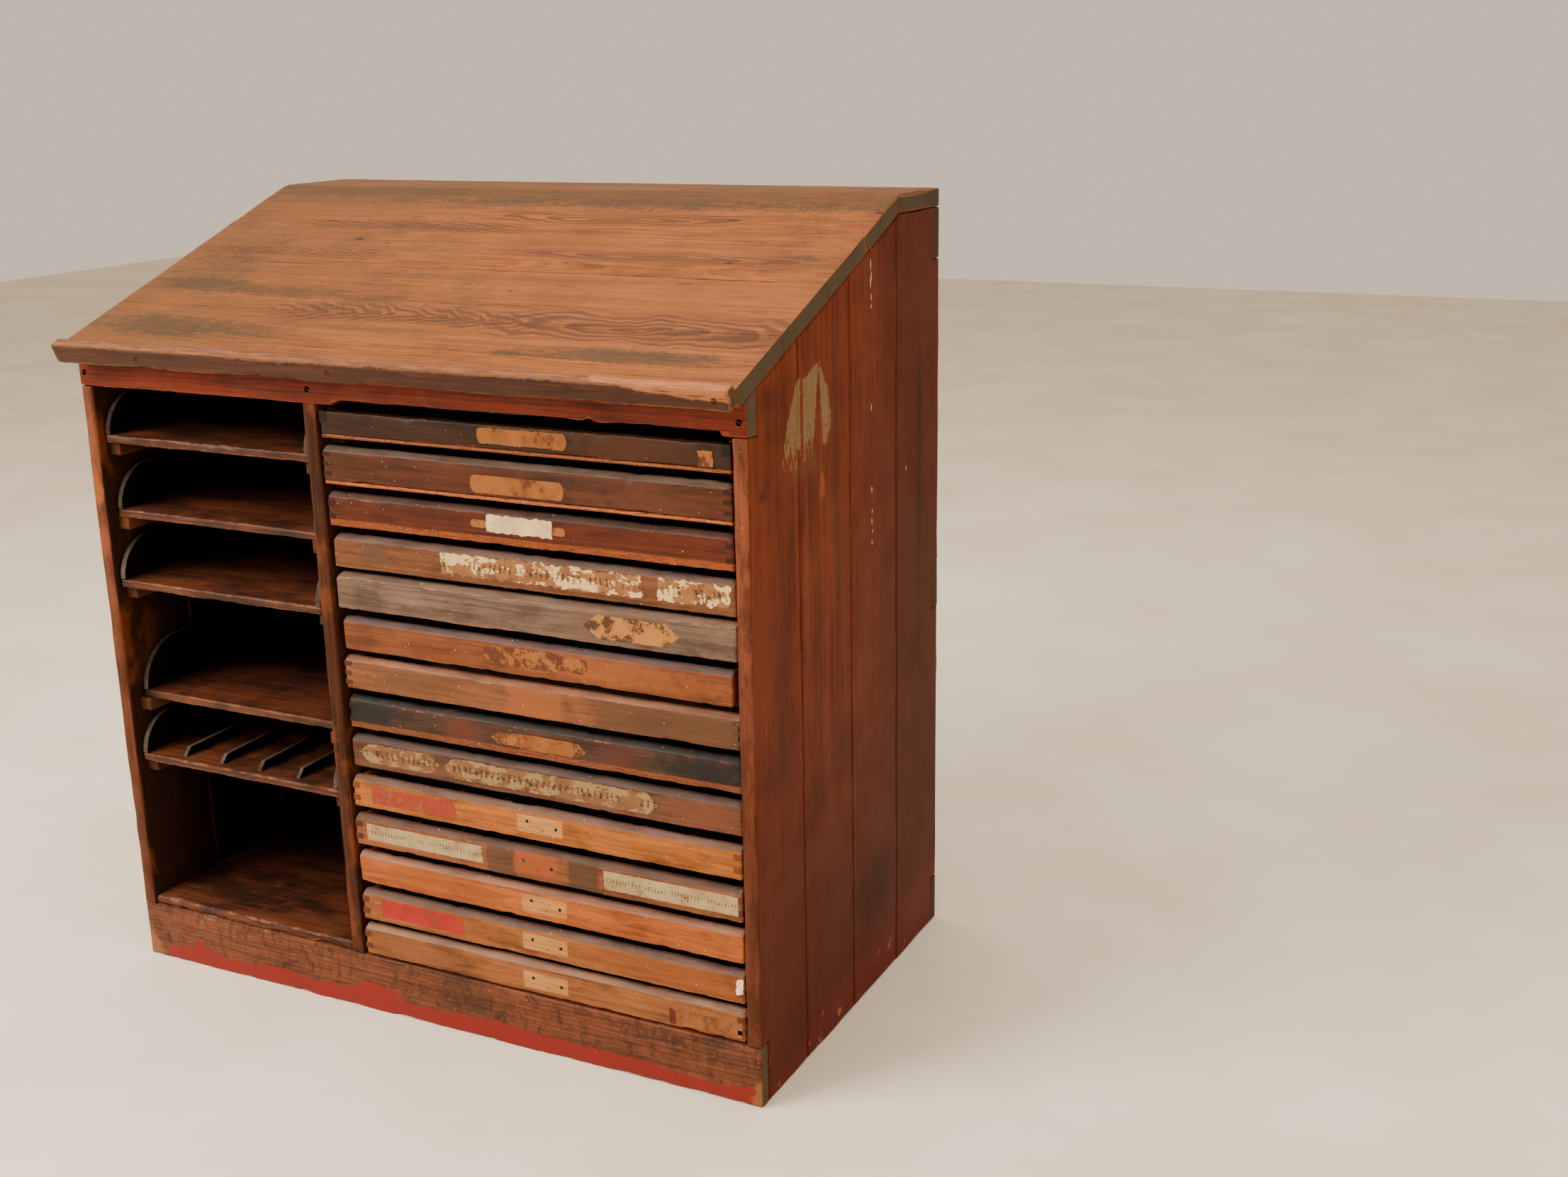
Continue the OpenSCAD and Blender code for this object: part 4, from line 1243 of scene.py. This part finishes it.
# Labels: case, paper, shape, x and z of the middle from the case's corner, width, height and how torn
LABELS = (
    (1, "ochre", "round", 0.338, 0.023, 0.142, 0.022, 0.0016),
    (1, "patchy", "plain", 0.616, 0.018, 0.022, 0.020, 0.0045),
    (2, "ochre", "round", 0.326, 0.022, 0.150, 0.025, 0.0006),
    (3, "patchy", "round", 0.322, 0.022, 0.152, 0.011, 0.0012),
    (3, "cream", "plain", 0.324, 0.024, 0.106, 0.024, 0.0026),
    (4, "torn", "plain", 0.350, 0.021, 0.322, 0.031, 0.0045),
    (4, "torn", "plain", 0.590, 0.021, 0.108, 0.030, 0.0045),
    (5, "hexagon", "pointed", 0.493, 0.020, 0.148, 0.033, 0.0010),
    (6, "patchy", "round", 0.330, 0.021, 0.170, 0.020, 0.0030),
    (6, "patchy", "plain", 0.315, 0.021, 0.106, 0.026, 0.0016),
    (8, "patchy", "pointed", 0.331, 0.018, 0.158, 0.018, 0.0015),
    (8, "ochre", "plain", 0.345, 0.018, 0.088, 0.022, 0.0012),
    (9, "flaked", "pointed", 0.086, 0.020, 0.146, 0.030, 0.0022),
    (9, "flaked", "pointed", 0.345, 0.020, 0.360, 0.031, 0.0022),
    (10, "red", "plain", 0.110, 0.018, 0.150, 0.026, 0.0016),
    (11, "white", "plain", 0.125, 0.020, 0.208, 0.026, 0.0006),
    (11, "white", "plain", 0.540, 0.020, 0.212, 0.028, 0.0006),
    (13, "bright_red", "plain", 0.110, 0.020, 0.148, 0.028, 0.0006),
    (13, "scrap", "plain", 0.645, 0.022, 0.010, 0.024, 0.0040),
    (14, "tan", "plain", 0.597, 0.017, 0.100, 0.024, 0.0018),
)


def labels():
    """The labels on the fronts. A second one on the same case lies over the first."""
    count = {}
    for number, kind, shape, x, z, width, height, torn in LABELS:
        count[number] = count.get(number, 0) + 1
        corner = case_corner(number)
        piece = Piece(f"case_{number:02d}_label_{count[number]}")
        lift = 0.0003 * count[number]
        outline = label_outline(shape, width, height)
        outline = [Vector((p.x + corner.x + x, p.y + corner.z + z)) for p in outline]
        outline = ragged(outline, torn, 0.0015 if torn > 0.001 else 0.004, piece.random.uniform(0, 40))
        outline = counter_clockwise([Vector((p.y, p.x)) for p in outline])
        piece.prism(outline, 1, corner.y - lift, corner.y + 0.0006, radius=0.00003, wear=0, support=0.0001,
                    step=1.0, grain=0, centred=True)
        piece.make(papers[kind], f"case_{number:02d}")


# ---------------------------------------------------------------- nails and the notched strip

# Nails in the ledge and the rail as x and z, and in the right side as y and z
LEDGE_NAILS = ((-0.267, 0.995), (-0.131, 0.996), (0.009, 0.995), (0.151, 0.991), (0.232, 0.990),
               (0.294, 0.995), (0.433, 0.994))
RAIL_NAILS = ((-0.545, 0.982), (-0.320, 0.972), (0.220, 0.975), (0.556, 0.958))
SIDE_NAILS = ((-0.259, 0.890), (-0.027, 0.974), (-0.120, 1.020), (0.155, 1.060), (0.205, 0.960),
              (0.150, 0.620), (-0.230, 0.330), (0.060, 0.330), (0.250, 0.560), (-0.065, 0.560))


NAIL_R, SIDE_NAIL_R, NAIL_DEPTH = 0.0019, 0.0018, 0.004


def octagon(u, w, size):
    """An eight-sided outline around a point."""
    turns = [math.pi * (k + 0.5) / 4 for k in range(8)]
    return [Vector((u + size * math.cos(t), w + size * math.sin(t))) for t in turns]


def nails():
    """Nail heads in the ledge, the rail and the right side."""
    heads = Piece("nail_heads")
    head = dict(radius=0.0004, wear=0.0003, support=0.0002)
    for x, z in LEDGE_NAILS:
        y = LEDGE_FOOT_Y - (z - LEDGE_LO.z) * math.tan(SLOPE_ANGLE)
        heads.prism(octagon(z, x, NAIL_R), 1, y - 0.0004, y + NAIL_DEPTH, **head)
    for x, z in RAIL_NAILS:
        heads.prism(octagon(z, x, NAIL_R), 1, FRONT_Y - 0.0004, FRONT_Y + NAIL_DEPTH, **head)
    for y, z in SIDE_NAILS:
        heads.prism(octagon(y, z, SIDE_NAIL_R), 0, BODY_HI.x - NAIL_DEPTH, BODY_HI.x + 0.0003, **head)
    heads.make(screw_iron, "carcass")


# The strip's ends, lower and upper edge from the case's corner, and its notches
STRIP_X, STRIP_Z = (0.14, 0.636), (0.031, 0.044)
NOTCH_PITCH, NOTCH_R = 0.0205, 0.0058


def notched_strip():
    """Case 7 has a strip with a row of half round notches behind its front."""
    corner = case_corner(7)
    y = corner.y + 0.024
    left, right = (corner.x + x for x in STRIP_X)
    low, top = (corner.z + z for z in STRIP_Z)
    edge = []
    for k in range(int((right - left) / NOTCH_PITCH)):
        middle = left + (k + 0.5) * NOTCH_PITCH
        turns = [math.pi * t / 6 for t in range(7)]
        edge += [Vector((low + NOTCH_R * math.sin(t), middle - NOTCH_R * math.cos(t))) for t in turns]
    ends = [Vector((low, right)), Vector((top, right)), Vector((top, left))]
    outline = counter_clockwise([Vector((low, left))] + edge + ends)
    strip = Piece("case_07_notched_strip")
    strip.prism(outline, 1, y, y + 0.004, radius=0.0003, wear=0.0003, support=0.0004, grain=0)
    strip.make(divider_wood, "case_07")


# ---------------------------------------------------------------- stage

FLOOR = 9    # half the width of the floor


def floor():
    mesh = bpy.data.meshes.new("floor")
    corners = [(-FLOOR, -FLOOR, 0), (FLOOR, -FLOOR, 0), (FLOOR, FLOOR, 0), (-FLOOR, FLOOR, 0)]
    mesh.from_pydata(corners, [], [(0, 1, 2, 3)])
    plane = bpy.data.objects.new("floor", mesh)
    bpy.context.scene.collection.objects.link(plane)
    s = Shader("floor", Roughness=0.85)
    tint = s.mix(s.step(s.noise(2.5, 5), 0.3, 0.7), (230, 216, 196), (218, 204, 182))
    mesh.materials.append(s.finish(tint, 0.85))


# Lamps: place, size, power and colour
LAMPS = {
    "key": ((-2.6, -3.2, 3.4), 2.6, 400, (1.0, 0.93, 0.84)),
    "top": ((0.0, -0.4, 4.2), 3.0, 150, (1.0, 0.95, 0.88)),
    "fill": ((3.6, -1.8, 2.0), 2.5, 75, (1.0, 0.93, 0.84)),
}
LAMP_TARGET = Vector((0.0, 0.0, 0.65))


def lights():
    """Three soft lamps aimed at the middle of the cabinet, in pale surroundings."""
    for name, (place, size, power, colour) in LAMPS.items():
        lamp = bpy.data.lights.new(name, "AREA")
        lamp.size, lamp.energy, lamp.color = size, power, colour
        holder = bpy.data.objects.new(name, lamp)
        holder.location = place
        holder.rotation_euler = (LAMP_TARGET - Vector(place)).to_track_quat("-Z", "Y").to_euler()
        bpy.context.scene.collection.objects.link(holder)
    world = bpy.data.worlds.new("studio")
    bpy.context.scene.world = world
    world.use_nodes = True
    back = world.node_tree.nodes["Background"]
    back.inputs["Color"].default_value = rgb(240, 222, 196)
    back.inputs["Strength"].default_value = 0.95


CAMERA_PLACE = Vector((1.59334, -2.27830, 1.39751))
CAMERA_AZIMUTH, CAMERA_DOWN, CAMERA_ROLL = (math.radians(a) for a in (-26.374, 16.172, -1.047))
LENS = 41.865


def camera():
    forward = Vector((math.sin(CAMERA_AZIMUTH) * math.cos(CAMERA_DOWN),
                      math.cos(CAMERA_AZIMUTH) * math.cos(CAMERA_DOWN), -math.sin(CAMERA_DOWN)))
    right = forward.cross(Vector((0, 0, 1))).normalized()
    up = right.cross(forward)
    turned_right = math.cos(CAMERA_ROLL) * right + math.sin(CAMERA_ROLL) * up
    turned_up = math.cos(CAMERA_ROLL) * up - math.sin(CAMERA_ROLL) * right
    data = bpy.data.cameras.new("camera")
    data.sensor_width, data.lens = 36.0, LENS
    holder = bpy.data.objects.new("camera", data)
    axes = Matrix((turned_right, turned_up, -forward)).transposed()
    holder.matrix_world = Matrix.Translation(CAMERA_PLACE) @ axes.to_4x4()
    bpy.context.scene.collection.objects.link(holder)
    bpy.context.scene.camera = holder


camera()
lights()
floor()
sides()
uprights()
desk()
inner_woodwork()
fixings()
trays()
for number in CASES:
    case(number)
labels()
nails()
notched_strip()
